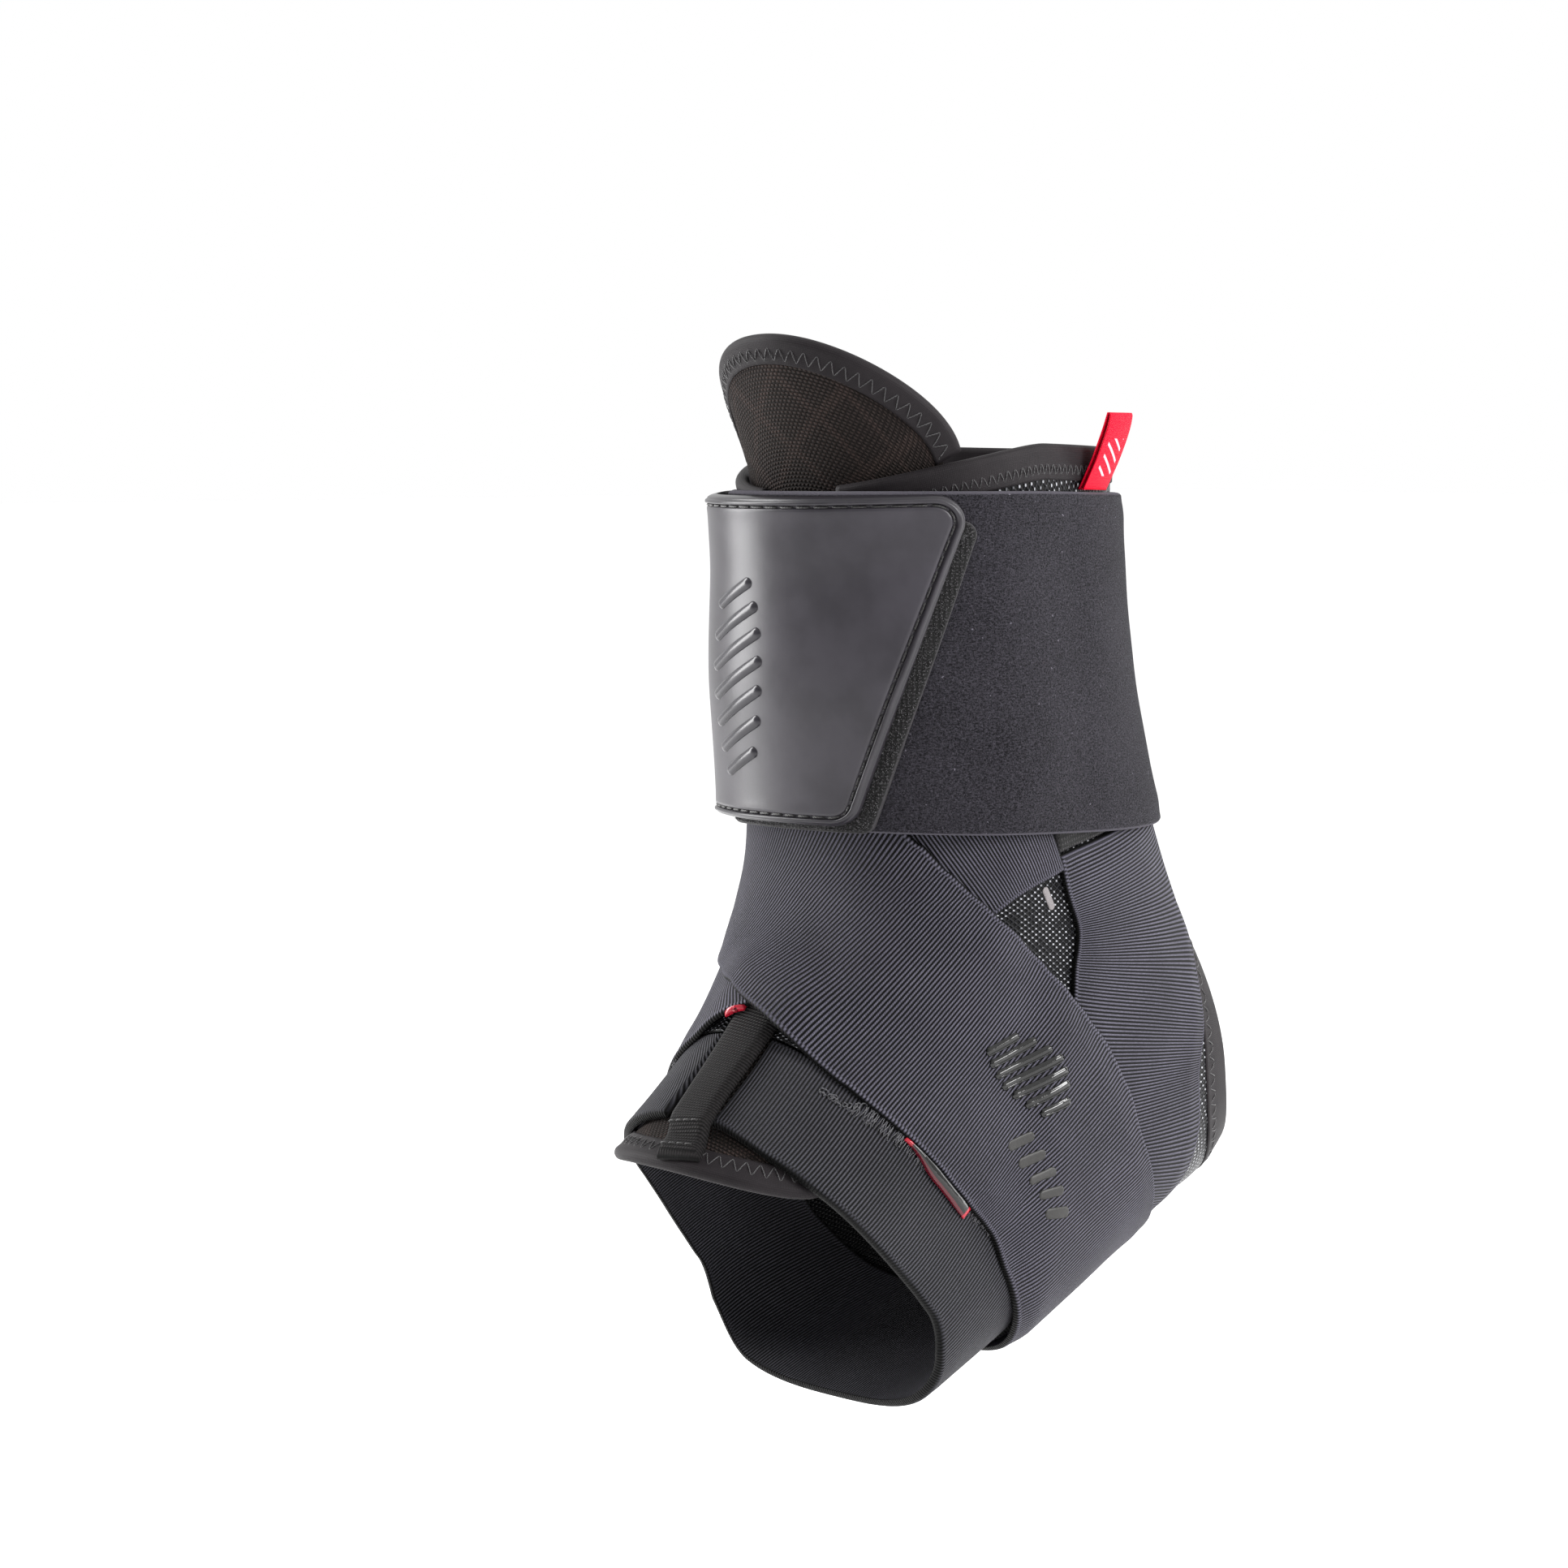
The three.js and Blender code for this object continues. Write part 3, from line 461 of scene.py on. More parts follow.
def above_body(place):
    webbing = fade(pull_cover.outside(place)) * (WEBBING_THICKNESS + LAYER_GAP)
    binding = fade((heel_cover.outside(place) - HEEL_BINDING_WIDTH).clip(0)) * BINDING_PROUD
    return body_out(place) + LAYER_GAP + webbing + binding


def over_in(place):
    return above_body(place) + fade(under_cover.outside(place)) * (STRAP_THICKNESS + LAYER_GAP)


def cuff_in(place):
    """The cuff lies over the top ends of the straps, two deep at the front and one at the sides."""
    turn = np.abs(short_turn(place[..., 1]))
    sides = smooth(turn, STRAPS_END["two"] - 8, STRAPS_END["one"] + 12)
    rear = smooth(turn, STRAPS_END["last"], STRAPS_END["none"])
    low = smooth(place[..., 0], STRAPS_END["top"], STRAPS_END["full"])
    straps = (2 - sides - rear) * low * (STRAP_THICKNESS + LAYER_GAP)
    edge = places(body_top_level(place[..., 1]), place[..., 1])
    below = np.linalg.norm(lifted(edge, BODY_THICKNESS) - lifted(place, BODY_THICKNESS), axis=-1)
    return body_out(place) + LAYER_GAP + straps + fade((below - TOP_BINDING_WIDTH).clip(0)) * BINDING_PROUD


def cuff_out(place):
    return cuff_in(place) + CUFF_THICKNESS


def body_top_level(angle):
    ahead = np.cos(np.radians(angle)).clip(0) ** BODY_TOP["power"]
    return mixed(BODY_TOP["back"], BODY_TOP["front"], ahead)


def body_top_route(share):
    angle = mixed(THROAT_OUTER["top"], 360 + THROAT_INNER["top"], share)
    return places(body_top_level(angle), angle)


def band_route(column):
    rows = np.array(BAND_ROWS, float)

    def route(share):
        angle = mixed(THROAT_OUTER["toe"], 360 + THROAT_INNER["toe"], share)
        return places(looked_up(rows, angle)[..., column], angle)

    return route


def tongue_route(end):
    def route(share):
        across = np.sin((share * 2 - 1) * (np.pi / 2))
        fall = end["fall"] * (1 - np.sqrt(np.clip(1 - across * across, 0, 1)))
        return places(end["level"] + fall * end["turn"], end["angle"] + end["half"] * across)

    return route


def cuff_route(share):
    return places(CUFF_MIDDLE, mixed(CUFF_FROM, CUFF_TO, share))


def chart_route(share):
    return places(CUFF_MIDDLE, mixed(-CHART_TURN, CHART_TURN, share))


top_line = Line(body_top_route, BODY_THICKNESS)
chart_line = Line(chart_route, CUFF_LIFT)


def chart_run(angle):
    return np.interp(angle, chart_line.places[:, 1], chart_line.runs)


chart_zero = float(chart_run(0))


def on_cuff(along, across):
    """Places on the cuff by millimetres along its middle from the shin, and across it upwards."""
    return chart_line.beside(chart_zero + along, across, 1.0)


def run_of(place):
    return chart_run(place[..., 1]) - chart_zero


def tab_in(place):
    on_hook = smooth(run_of(place), -HOOK_BACK_REACH - 15, -HOOK_BACK_REACH - 3)
    return cuff_out(place) + LAYER_GAP + on_hook * (HOOK_THICKNESS + LAYER_GAP)


# Mesh pieces
def spaced(low, high, step):
    """Steps from low to high, close together at both ends."""
    rim = np.array(EDGE_STEPS)
    inner_low, inner_high = low + rim[-1], high - rim[-1]
    count = max(1, round((inner_high - inner_low) / step))
    middle = np.linspace(inner_low, inner_high, count + 1)[1:-1]
    return np.concatenate([low + rim, middle, (high - rim)[::-1]])


def measured(points):
    """For a grid of points, the millimetres walked along its columns and across its rows."""
    steps = [np.diff(points, axis=axis, prepend=np.take(points, [0], axis)) for axis in (0, 1)]
    return (np.cumsum(np.linalg.norm(step, axis=-1), axis=axis) for axis, step in enumerate(steps))


def edge_distance(along, across):
    """For a grid, how far each place is from the nearest of its four edges."""
    from_ends = np.minimum(along - along[0], along[-1] - along)
    from_sides = np.minimum(across - across[0], across[-1] - across)
    return np.minimum(*np.meshgrid(from_ends, from_sides, indexing="ij"))


def rounded(edge, thickness):
    """The thickness of a cloth near its edge: full but for a rounded rim."""
    reach = np.clip(edge / (ROUNDED_REACH * thickness), 0, 1)
    return thickness * (CUT_EDGE + (1 - CUT_EDGE) * np.sqrt(1 - (1 - reach) ** 2))


def layer(base, edge, thickness):
    """Bottom and top heights of a layer that is pressed onto what is under it along its edges."""
    bottom = base - SINK
    return bottom, bottom + rounded(edge, thickness) + SINK * smooth(edge, 0.5, 6.0)


def waves(along, across, size, seed):
    """Gentle unevenness of a cloth, between about -size and size."""
    rng = np.random.default_rng(seed)
    total = np.zeros(np.broadcast(along, across).shape)
    for _ in range(WAVE_COUNT):
        turn, phase = rng.uniform(0, np.pi), rng.uniform(0, 2 * np.pi)
        length = rng.uniform(*WAVE_LENGTHS)
        ahead = along * math.cos(turn) + across * math.sin(turn)
        total = total + np.sin(ahead * 6.28 / length + phase)
    return total * size / 2.5


def volume(points, faces):
    a = points[faces[:, 0]]
    total = 0.0
    for k in range(1, faces.shape[1] - 1):
        total += dot(a, np.cross(points[faces[:, k]], points[faces[:, k + 1]])).sum()
    return total


def mesh_piece(name, points, faces, chart, material, slot=None, replaces=(), turn=True):
    """
    A shown piece of the brace. chart holds each point's millimetres along, across and from the edge.
    A face whose last two corners are one point is a triangle. turn lets faces be turned outwards.
    """
    faces = np.asarray(faces)
    if turn and volume(points, faces) < 0:
        faces = faces[:, ::-1]
    doubled = faces[:, 2] == faces[:, -1] if faces.shape[1] > 3 else np.zeros(len(faces), bool)
    listed = faces[~doubled].tolist() + faces[doubled][:, :3].tolist()
    mesh = bpy.data.meshes.new(name)
    mesh.from_pydata((points * MM).tolist(), [], listed)
    attribute = mesh.attributes.new("cloth", "FLOAT_VECTOR", "POINT")
    attribute.data.foreach_set("vector", np.asarray(chart, np.float32).ravel())
    mesh.polygons.foreach_set("use_smooth", np.ones(len(listed), bool))
    mesh.materials.append(material)
    mesh.validate()
    piece = bpy.data.objects.new(name, mesh)
    bpy.context.scene.collection.objects.link(piece)
    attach(piece, "root")
    if replaces:
        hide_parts(*replaces)
    return piece


def shell_faces(rows, columns, keep=None, closed=False):
    """Quads of a two-sided grid with walls round the cells that are kept."""
    top = np.arange(rows * columns).reshape(rows, columns)
    if closed:
        top = np.vstack([top, top[:1]])
    cells = (top.shape[0] - 1, columns - 1)
    keep = np.ones(cells, bool) if keep is None else keep
    under = top + rows * columns
    corners = [(0, 0), (1, 0), (1, 1), (0, 1)]

    def corner(grid, k):
        i, j = corners[k % 4]
        return grid[i:i + cells[0], j:j + cells[1]]

    faces = [np.stack([corner(top, k) for k in range(4)], -1)[keep]]
    faces.append(np.stack([corner(under, k) for k in (3, 2, 1, 0)], -1)[keep])
    border = np.pad(keep, ((0, 0), (1, 1)))
    ends = np.vstack([border[-1:], border, border[:1]]) if closed else np.pad(border, ((1, 1), (0, 0)))
    beside = {0: ends[1:-1, :-2], 1: ends[2:, 1:-1], 2: ends[1:-1, 2:], 3: ends[:-2, 1:-1]}
    for k, other in beside.items():
        wall = [corner(top, k + 1), corner(top, k), corner(under, k), corner(under, k + 1)]
        faces.append(np.stack(wall, -1)[keep & ~other])
    return np.vstack(faces)


def two_sided(place, top, bottom, chart, keep=None, lined=False):
    """Points, faces and chart of a closed shape between two heights over a grid of places."""
    inner = chart - [0, 0, LINING_MARK] if lined else chart
    points = np.vstack([lifted(place, height).reshape(-1, 3) for height in (top, bottom)])
    charts = np.vstack([chart.reshape(-1, 3), inner.reshape(-1, 3)])
    return points, shell_faces(*place.shape[:2], keep), charts


def joined(parts):
    """The points, faces and charts of several shapes as one."""
    points, faces, charts = zip(*parts)
    starts = np.cumsum([0] + [len(part) for part in points[:-1]])
    faces = [part + start for part, start in zip(faces, starts)]
    return np.vstack(points), np.vstack(faces), np.vstack(charts)


def cloth_piece(name, place, bottom, top, chart, material, keep=None, lined=False, **rest):
    """A closed piece between two heights over a grid of places. A lining is marked by a negative edge."""
    points, faces, chart = two_sided(place, top, bottom, chart, keep, lined)
    used, numbers = np.unique(faces, return_inverse=True)
    return mesh_piece(name, points[used], numbers.reshape(faces.shape), chart[used], material, **rest)


def chart_of(along, across, edge):
    return np.stack([*np.meshgrid(along, across, indexing="ij"), edge], -1)


def tubes(name, lines, radius, material, sides=5, **rest):
    """One piece made of round threads, each along its own list of points."""
    parts = []
    ring = np.linspace(0, 2 * np.pi, sides, endpoint=False)
    for line in lines:
        tangent = unit(np.gradient(line, axis=0) + 1e-9)
        helper = np.where(np.abs(tangent[:, 2:]) < 0.8, [[0, 0, 1.0]], [[1.0, 0, 0]])
        side = unit(np.cross(tangent, helper))
        other = np.cross(tangent, side)
        turned = side[:, None] * np.cos(ring)[:, None] + other[:, None] * np.sin(ring)[:, None]
        grid = np.arange(len(line) * sides).reshape(len(line), sides)
        after = np.roll(grid, -1, axis=1)
        faces = [np.stack([grid[:-1], after[:-1], after[1:], grid[1:]], -1).reshape(-1, 4)]
        for last, row in enumerate((grid[0], grid[-1][::-1])):
            centre = np.full(sides, grid.size + last)
            faces.append(np.stack([row, np.roll(row, 1), centre, centre], -1))
        points = np.vstack([(line[:, None] + turned * radius).reshape(-1, 3), line[[0, -1]]])
        chart = np.stack([np.repeat(walked(line), sides), np.tile(ring, len(line)), np.zeros(grid.size)], -1)
        parts.append((points, np.vstack(faces), np.vstack([chart, np.zeros((2, 3))])))
    return mesh_piece(name, *joined(parts), material, turn=False, **rest)


# Materials
class Tree:
    """Short ways to add nodes to a node tree."""

    def __init__(self, tree):
        self.tree = tree

    def make(self, kind, inputs=None, **settings):
        node = self.tree.nodes.new("ShaderNode" + kind)
        for key, value in settings.items():
            setattr(node, key, value)
        for key, value in (inputs or {}).items():
            self.feed(node.inputs[key], value)
        return node

    def feed(self, socket, value):
        if isinstance(value, bpy.types.NodeSocket):
            self.tree.links.new(value, socket)
        else:
            socket.default_value = value

    def math(self, operation, first, second=0.5, third=0.5):
        return self.make("Math", {0: first, 1: second, 2: third}, operation=operation).outputs[0]

    def times(self, first, second):
        return self.math("MULTIPLY", first, second)

    def scaled(self, value, factor, more):
        return self.math("MULTIPLY_ADD", value, factor, more)

    def wave(self, value, pitch, phase=0.0):
        """From 0 to 1 and back once for each pitch."""
        turned = self.scaled(value, 2 * math.pi / pitch, phase)
        return self.scaled(self.math("SINE", turned), 0.5, 0.5)

    def ramp(self, value, low, high, start=0.0, end=1.0):
        node = self.make("MapRange", {0: value, 1: low, 2: high, 3: start, 4: end})
        node.interpolation_type = "SMOOTHSTEP"
        return node.outputs[0]

    def mix(self, share, first, second):
        node = self.make("Mix", data_type="RGBA")
        for number, value in ((0, share), (6, first), (7, second)):
            self.feed(node.inputs[number], (*value, 1) if isinstance(value, tuple) else value)
        return node.outputs[2]


class Nodes(Tree):
    """A principled material. Patterns are measured in millimetres."""

    def __init__(self, name, roughness, **constants):
        self.material = bpy.data.materials.new(name)
        self.material.use_nodes = True
        super().__init__(self.material.node_tree)
        self.shader = self.tree.nodes["Principled BSDF"]
        self.shader.inputs["Roughness"].default_value = roughness
        for key, value in constants.items():
            self.shader.inputs[key.replace("_", " ")].default_value = value
        cloth = self.make("Attribute", attribute_name="cloth")
        split = self.make("SeparateXYZ", {0: cloth.outputs["Vector"]})
        self.along, self.across, self.edge = split.outputs
        space = self.make("TexCoord").outputs["Object"]
        scaled = self.make("VectorMath", {0: space, "Scale": 1 / MM}, operation="SCALE")
        self.space = scaled.outputs[0]

    def noise(self, size, detail=2.0, roughness=0.5, vector=None, distortion=0.0):
        node = self.make("TexNoise", {
            "Vector": vector or self.space,
            "Scale": 1 / size,
            "Detail": detail,
            "Roughness": roughness,
            "Distortion": distortion,
        })
        return node.outputs[0]

    def stretched(self, along, across):
        """Cloth coordinates divided by a size along and a size across, for streaks and threads."""
        first = self.math("DIVIDE", self.along, along)
        second = self.math("DIVIDE", self.across, across)
        return self.make("CombineXYZ", {0: first, 1: second}).outputs[0]

    def finish(self, colour, height=None, depth=0.1, roughness=None):
        """Feeds the colour, and a bump whose height from 0 to 1 stands for a depth in millimetres."""
        self.feed(self.shader.inputs["Base Color"], (*colour, 1) if isinstance(colour, tuple) else colour)
        if roughness is not None:
            self.feed(self.shader.inputs["Roughness"], roughness)
        if height is not None:
            bump = self.make("Bump", {"Height": height, "Distance": depth * MM})
            self.feed(self.shader.inputs["Normal"], bump.outputs[0])
        return self.material


def toned(factor, colour):
    return tuple(factor * x for x in colour)


def elastic(name, dark, light, pitch=0.8, lighter_edge=1.0):
    """Ribbed elastic: ribs across the strip, each of short twisted yarns, and a finer selvedge."""
    n = Nodes(name, 0.6, Sheen_Weight=0.02, Sheen_Roughness=0.4, Specular_IOR_Level=0.1)
    bend = n.scaled(n.noise(30, 1.0), 0.5, n.along)
    rib = n.wave(bend, pitch)
    yarn = n.wave(n.scaled(n.along, 0.5, n.across), 0.5)
    # The rib valleys are painted near black and the crests lighter: painted shade between the ribs. The
    # flecks and the cloudy tone are real random tone.
    crest = n.ramp(rib, 0.3, 0.8)
    height = n.times(n.math("POWER", rib, 0.7), n.scaled(yarn, 0.2, 0.8))
    cloud = n.noise(16, 3.0, 0.6)
    fleck = n.ramp(n.noise(0.5, 2.0, 0.6, n.stretched(0.4, 1.8)), 0.3, 0.75)
    worn = n.scaled(fleck, 0.4, n.scaled(cloud, 0.7, 0.3))
    share = n.times(n.times(crest, n.scaled(yarn, 0.3, 0.7)), worn)
    cloth = n.mix(share, dark, light)
    selvedge = n.ramp(n.edge, 0.7, 1.3)
    rim = toned(lighter_edge, light)
    tooth = n.times(n.wave(n.along, 0.8), n.ramp(n.edge, 0.1, 0.6))
    colour = n.mix(selvedge, n.mix(tooth, dark, rim), cloth)
    return n.finish(colour, height, 0.2)


def loop_cloth(name, dark, light):
    """Brushed loop cloth: short curled fibres in all directions, combed a little along the cloth, with sparse
    fibres painted lighter as painted glints.
    """
    n = Nodes(name, 0.9, Sheen_Weight=0.05, Sheen_Roughness=0.45, Specular_IOR_Level=0.06)
    curl = n.noise(0.34, 2.0, 0.8, distortion=0.6)
    comb = n.noise(1.0, 3.0, 0.65, n.stretched(0.8, 0.34))
    patch = n.noise(18, 2.0)
    height = n.scaled(curl, 0.6, n.times(comb, 0.4))
    share = n.math("ADD", n.ramp(height, 0.38, 0.66), n.scaled(patch, 0.3, -0.15))
    fibre = n.ramp(n.noise(0.36, 2.0, 0.8), 0.64, 0.72)
    lint = n.ramp(n.noise(1.1, 1.0), 0.77, 0.8)
    ground = n.mix(share, dark, light)
    # Painted glints: sparse fibres painted three times lighter, where curled fibres would catch the light.
    painted_glints = n.mix(n.times(fibre, 0.5), ground, toned(3.0, light))
    body = n.mix(n.times(lint, 0.5), painted_glints, toned(5.0, light))
    colour = n.mix(n.ramp(n.edge, 0.2, 0.7), toned(1.8, light), body)
    return n.finish(colour, height, 0.4)


def hook_cloth(name, dark, light):
    """Hook tape: a dense field of stiff hooks in close rows."""
    n = Nodes(name, 0.5, Sheen_Weight=0.03, Specular_IOR_Level=0.25)
    rows = n.times(n.wave(n.along, 0.95), n.wave(n.across, 0.8))
    fuzz = n.noise(0.6, 4.0, 0.75, distortion=2.0)
    height = n.scaled(fuzz, 0.7, n.times(rows, 0.3))
    share = n.ramp(height, 0.42, 0.7)
    rim = n.ramp(n.edge, 0.15, 0.4)
    colour = n.mix(rim, toned(0.9, light), n.mix(share, dark, light))
    return n.finish(colour, height, 0.6)


def binding_tape(name, dark, light):
    """Smooth stretch tape: a very fine knit with a soft shine."""
    n = Nodes(name, 0.55, Sheen_Weight=0.02, Sheen_Roughness=0.35, Specular_IOR_Level=0.12)
    knit = n.times(n.wave(n.along, 0.36), n.wave(n.across, 0.3))
    cloud = n.noise(7, 3.0, 0.6)
    height = n.scaled(knit, 0.5, n.times(cloud, 0.5))
    colour = n.mix(n.scaled(knit, 0.35, n.times(cloud, 0.65)), dark, light)
    return n.finish(colour, height, 0.09)


def tongue_knit(name, dark, light, faint):
    """Coarse spacer knit in small staggered stitches, with large faint diamonds."""
    n = Nodes(name, 0.75, Sheen_Weight=0.02, Sheen_Roughness=0.5, Specular_IOR_Level=0.08)
    row = n.math("FLOOR", n.math("DIVIDE", n.along, 0.85))
    shifted = n.scaled(row, 0.55, n.across)
    stitch = n.times(n.wave(n.along, 0.85), n.wave(shifted, 1.1))
    grain = n.noise(0.45, 3.0, 0.7)
    height = n.scaled(n.math("POWER", stitch, 0.6), 0.8, n.times(grain, 0.2))
    one = n.wave(n.math("ADD", n.along, n.across), 17.0)
    other = n.wave(n.math("SUBTRACT", n.along, n.across), 17.0)
    diamond = n.ramp(n.math("MAXIMUM", one, other), 0.9, 0.97)
    ground = n.mix(n.times(height, n.ramp(grain, 0.2, 0.8, 0.6, 1.2)), dark, light)
    colour = n.mix(n.times(n.times(diamond, height), 0.5), ground, faint)
    return n.finish(colour, height, 0.6)


def mesh_cloth(name, dark, light, painted_glint_colour):
    """Open mesh: glossy strands with painted glints in diagonal rows, near-white specks that stand for their
    reflections, and a plain knitted lining on its inner side.
    """
    n = Nodes(name, 0.35, Specular_IOR_Level=0.12)
    one = n.wave(n.scaled(n.along, -1.0, n.across), 1.7)
    other = n.wave(n.scaled(n.along, 0.75, n.across), 1.35)
    outside = n.ramp(n.edge, -1.0, 0.0)
    strand = n.ramp(n.math("MAXIMUM", one, other), 0.4, 0.95)
    knot = n.ramp(n.times(one, other), 0.5, 0.85)
    painted_glints = n.ramp(n.noise(2.2, 2.0, 0.6), 0.36, 0.6)
    lining = n.times(n.wave(n.along, 0.9), n.wave(n.across, 0.8))
    height = n.mix(outside, lining, strand)
    ground = n.mix(height, dark, light)
    # Painted glints: some strand crossings are painted near white in place of reflections off the glossy
    # strands.
    shown = n.times(n.times(knot, painted_glints), n.times(outside, 0.5))
    return n.finish(n.mix(shown, ground, painted_glint_colour), height, 0.4)


def webbing_cloth(name, dark, light):
    """Woven webbing: strong ribs across, with a herringbone of yarns."""
    n = Nodes(name, 0.58, Sheen_Weight=0.02, Specular_IOR_Level=0.12)
    rib = n.wave(n.along, 0.72)
    yarn = n.wave(n.scaled(n.along, 0.5, n.across), 0.6)
    height = n.times(n.math("POWER", rib, 0.6), n.scaled(yarn, 0.4, 0.6))
    cloud = n.noise(5, 2.0)
    share = n.times(height, n.scaled(cloud, 0.6, 0.7))
    return n.finish(n.mix(share, dark, light), height, 0.3)


def moulded(name, base, worn, gloss=0.3):
    """Satin moulded plastic: a fine grain, faint scuffs, a darker rim with a paler, rubbed crest."""
    n = Nodes(name, gloss, Specular_IOR_Level=0.32)
    grain = n.noise(0.28, 2.0, 0.6)
    cloud = n.noise(11, 3.0, 0.55)
    scuff = n.ramp(n.noise(1.0, 4.0, 0.7, n.stretched(9, 0.5)), 0.62, 0.78)
    crest = n.times(n.ramp(n.edge, 0.6, 1.0), n.ramp(n.edge, 1.2, 1.6, 1.0, 0.0))
    rubbed = n.times(crest, n.ramp(cloud, 0.35, 0.7))
    share = n.math("ADD", n.times(scuff, 0.1), n.times(rubbed, 0.35))
    face = n.mix(n.ramp(cloud, 0.3, 0.7), toned(0.8, base), toned(1.1, base))
    tone = n.mix(n.ramp(n.edge, 2.0, 2.7), toned(0.6, base), face)
    rough = n.scaled(cloud, 0.1, n.scaled(scuff, 0.06, gloss - 0.05))
    return n.finish(n.mix(share, tone, worn), grain, 0.012, rough)


def glossy(name, base):
    """Shiny printed silicone or coated tape, in fine ridges that each catch the light."""
    n = Nodes(name, 0.09, Specular_IOR_Level=0.5)
    cloud = n.noise(1.6, 2.0)
    height = n.scaled(n.wave(n.across, 1.0), 0.7, n.times(cloud, 0.3))
    return n.finish(n.mix(cloud, toned(0.7, base), toned(1.3, base)), height, 0.22)


def coated_tag(name, base, edge, ends, start, stop, width):
    """Coated tag: a coloured outer edge, and both its ends in a stronger colour."""
    n = Nodes(name, 0.08, Specular_IOR_Level=0.5)
    from_start = n.ramp(n.along, start + 1.6, start + 2.4, 1.0, 0.0)
    from_stop = n.ramp(n.along, stop - 1.2, stop - 0.9)
    face = n.mix(n.ramp(n.across, width - 0.6, width - 0.4), base, edge)
    cloud = n.noise(1.6, 2.0)
    return n.finish(n.mix(n.math("MAXIMUM", from_start, from_stop), face, ends), cloud, 0.08)


def matte_print(name, base):
    n = Nodes(name, 0.45, Specular_IOR_Level=0.4)
    cloud = n.noise(1.2, 3.0, 0.6)
    return n.finish(n.mix(cloud, toned(0.75, base), toned(1.2, base)), cloud, 0.04)


def thread(name, base, roughness=0.5):
    """Twisted sewing thread."""
    n = Nodes(name, roughness, Sheen_Weight=0.3, Specular_IOR_Level=0.45)
    twist = n.wave(n.scaled(n.along, 9.0, n.across), 2 * math.pi)
    return n.finish(n.mix(twist, toned(0.55, base), toned(1.25, base)), twist, 0.05)


def satin_ribbon(name, base, stripe):
    """Satin ribbon: fine weft, a soft shine and a few slanted stripes."""
    n = Nodes(name, 0.42, Specular_IOR_Level=0.05)
    weft = n.wave(n.along, 0.4)
    warp = n.wave(n.across, 0.33)
    slant = n.scaled(n.across, 0.55, n.along)
    bars = n.ramp(n.wave(slant, 2.6), 0.8, 0.88)
    low = n.ramp(n.along, 3.0, 3.3)
    high = n.ramp(n.along, 11.4, 11.7, 1.0, 0.0)
    inside = n.ramp(n.edge, 2.2, 2.5)
    shown = n.times(n.times(low, high), n.times(bars, inside))
    ground = n.mix(weft, toned(0.8, base), base)
    height = n.scaled(weft, 0.6, n.times(warp, 0.4))
    return n.finish(n.mix(n.times(shown, 0.85), ground, stripe), height, 0.07)


strap_cloth = elastic("strap_elastic", (0.002, 0.002, 0.002), (0.107, 0.102, 0.134))
band_cloth = elastic("band_elastic", (0.002, 0.002, 0.002), (0.066, 0.065, 0.078), 0.76, 0.7)
cuff_cloth = loop_cloth("cuff_loops", (0.004, 0.004, 0.005), (0.044, 0.041, 0.05))
hook_material = hook_cloth("hook_field", (0.002, 0.002, 0.002), (0.045, 0.042, 0.046))
tape = binding_tape("binding_tape", (0.006, 0.005, 0.006), (0.024, 0.02, 0.022))
knit = tongue_knit("tongue_knit", (0.002, 0.0015, 0.0012), (0.046, 0.034, 0.031), (0.064, 0.042, 0.037))
# The last colour is for the painted glints: near-white specks that stand for the strands' reflections.
net = mesh_cloth("body_mesh", (0.001, 0.001, 0.001), (0.009, 0.009, 0.011), (0.72, 0.73, 0.78))
webbing = webbing_cloth("pull_webbing", (0.001, 0.001, 0.001), (0.016, 0.014, 0.0145))
tab_plastic = moulded("tab_plastic", (0.036, 0.033, 0.04), (0.07, 0.064, 0.074))
dark_thread = thread("dark_thread", (0.006, 0.005, 0.005))
grey_thread = thread("grey_thread", (0.03, 0.028, 0.03))
hook_fibre = thread("hook_fibre", (0.06, 0.057, 0.062), 0.35)
overlock_thread = thread("overlock_thread", (0.065, 0.063, 0.072))
ridge_plastic = moulded("ridge_plastic", (0.03, 0.028, 0.034), (0.07, 0.064, 0.074), 0.18)
black_gloss = glossy("black_gloss", (0.002, 0.002, 0.002))
grey_print = matte_print("grey_print", (0.02, 0.019, 0.018))
pale_print = matte_print("pale_print", (0.17, 0.155, 0.16))
red_tape = glossy("red_tape", (0.42, 0.012, 0.03))
label_red = satin_ribbon("label_ribbon", (0.62, 0.002, 0.022), (0.85, 0.5, 0.56))


def strap_pieces(name, line, base, seed):
    """An elastic strap and the hook piece that ends it."""
    stop = line.length - STRAP_END_LENGTH
    across = spaced(-STRAP_WIDTH / 2, STRAP_WIDTH / 2, CLOTH_STEP)
    for part, start, end in (("", 0.0, stop), ("_end", stop + SEAM_GAP, line.length)):
        along = spaced(start, end, CLOTH_STEP)
        edge = edge_distance(along, across)
        wobble = 1 + 0.006 * np.sin(along / 13.0 + seed)[:, None]
        grid = line.beside(along[:, None] + 0 * across, across * wobble, RIB_REACH)
        bottom, top = layer(base(grid), edge, STRAP_THICKNESS)
        top = top + waves(along[:, None], across, 0.1, seed) * smooth(edge, 1, 6)
        hook = part == "_end"
        cloth_piece(
            name + part + "_cloth",
            grid,
            bottom,
            top,
            chart_of(along, across, edge),
            hook_material if hook else strap_cloth,
            slot="hook_cloth" if hook else "strap_elastic",
            replaces=[name + part],
        )


# The mesh's own measure on the form: millimetres for each level down, and a radius for angles
MESH_PER_LEVEL = 24.0
MESH_RADIUS = 36.0


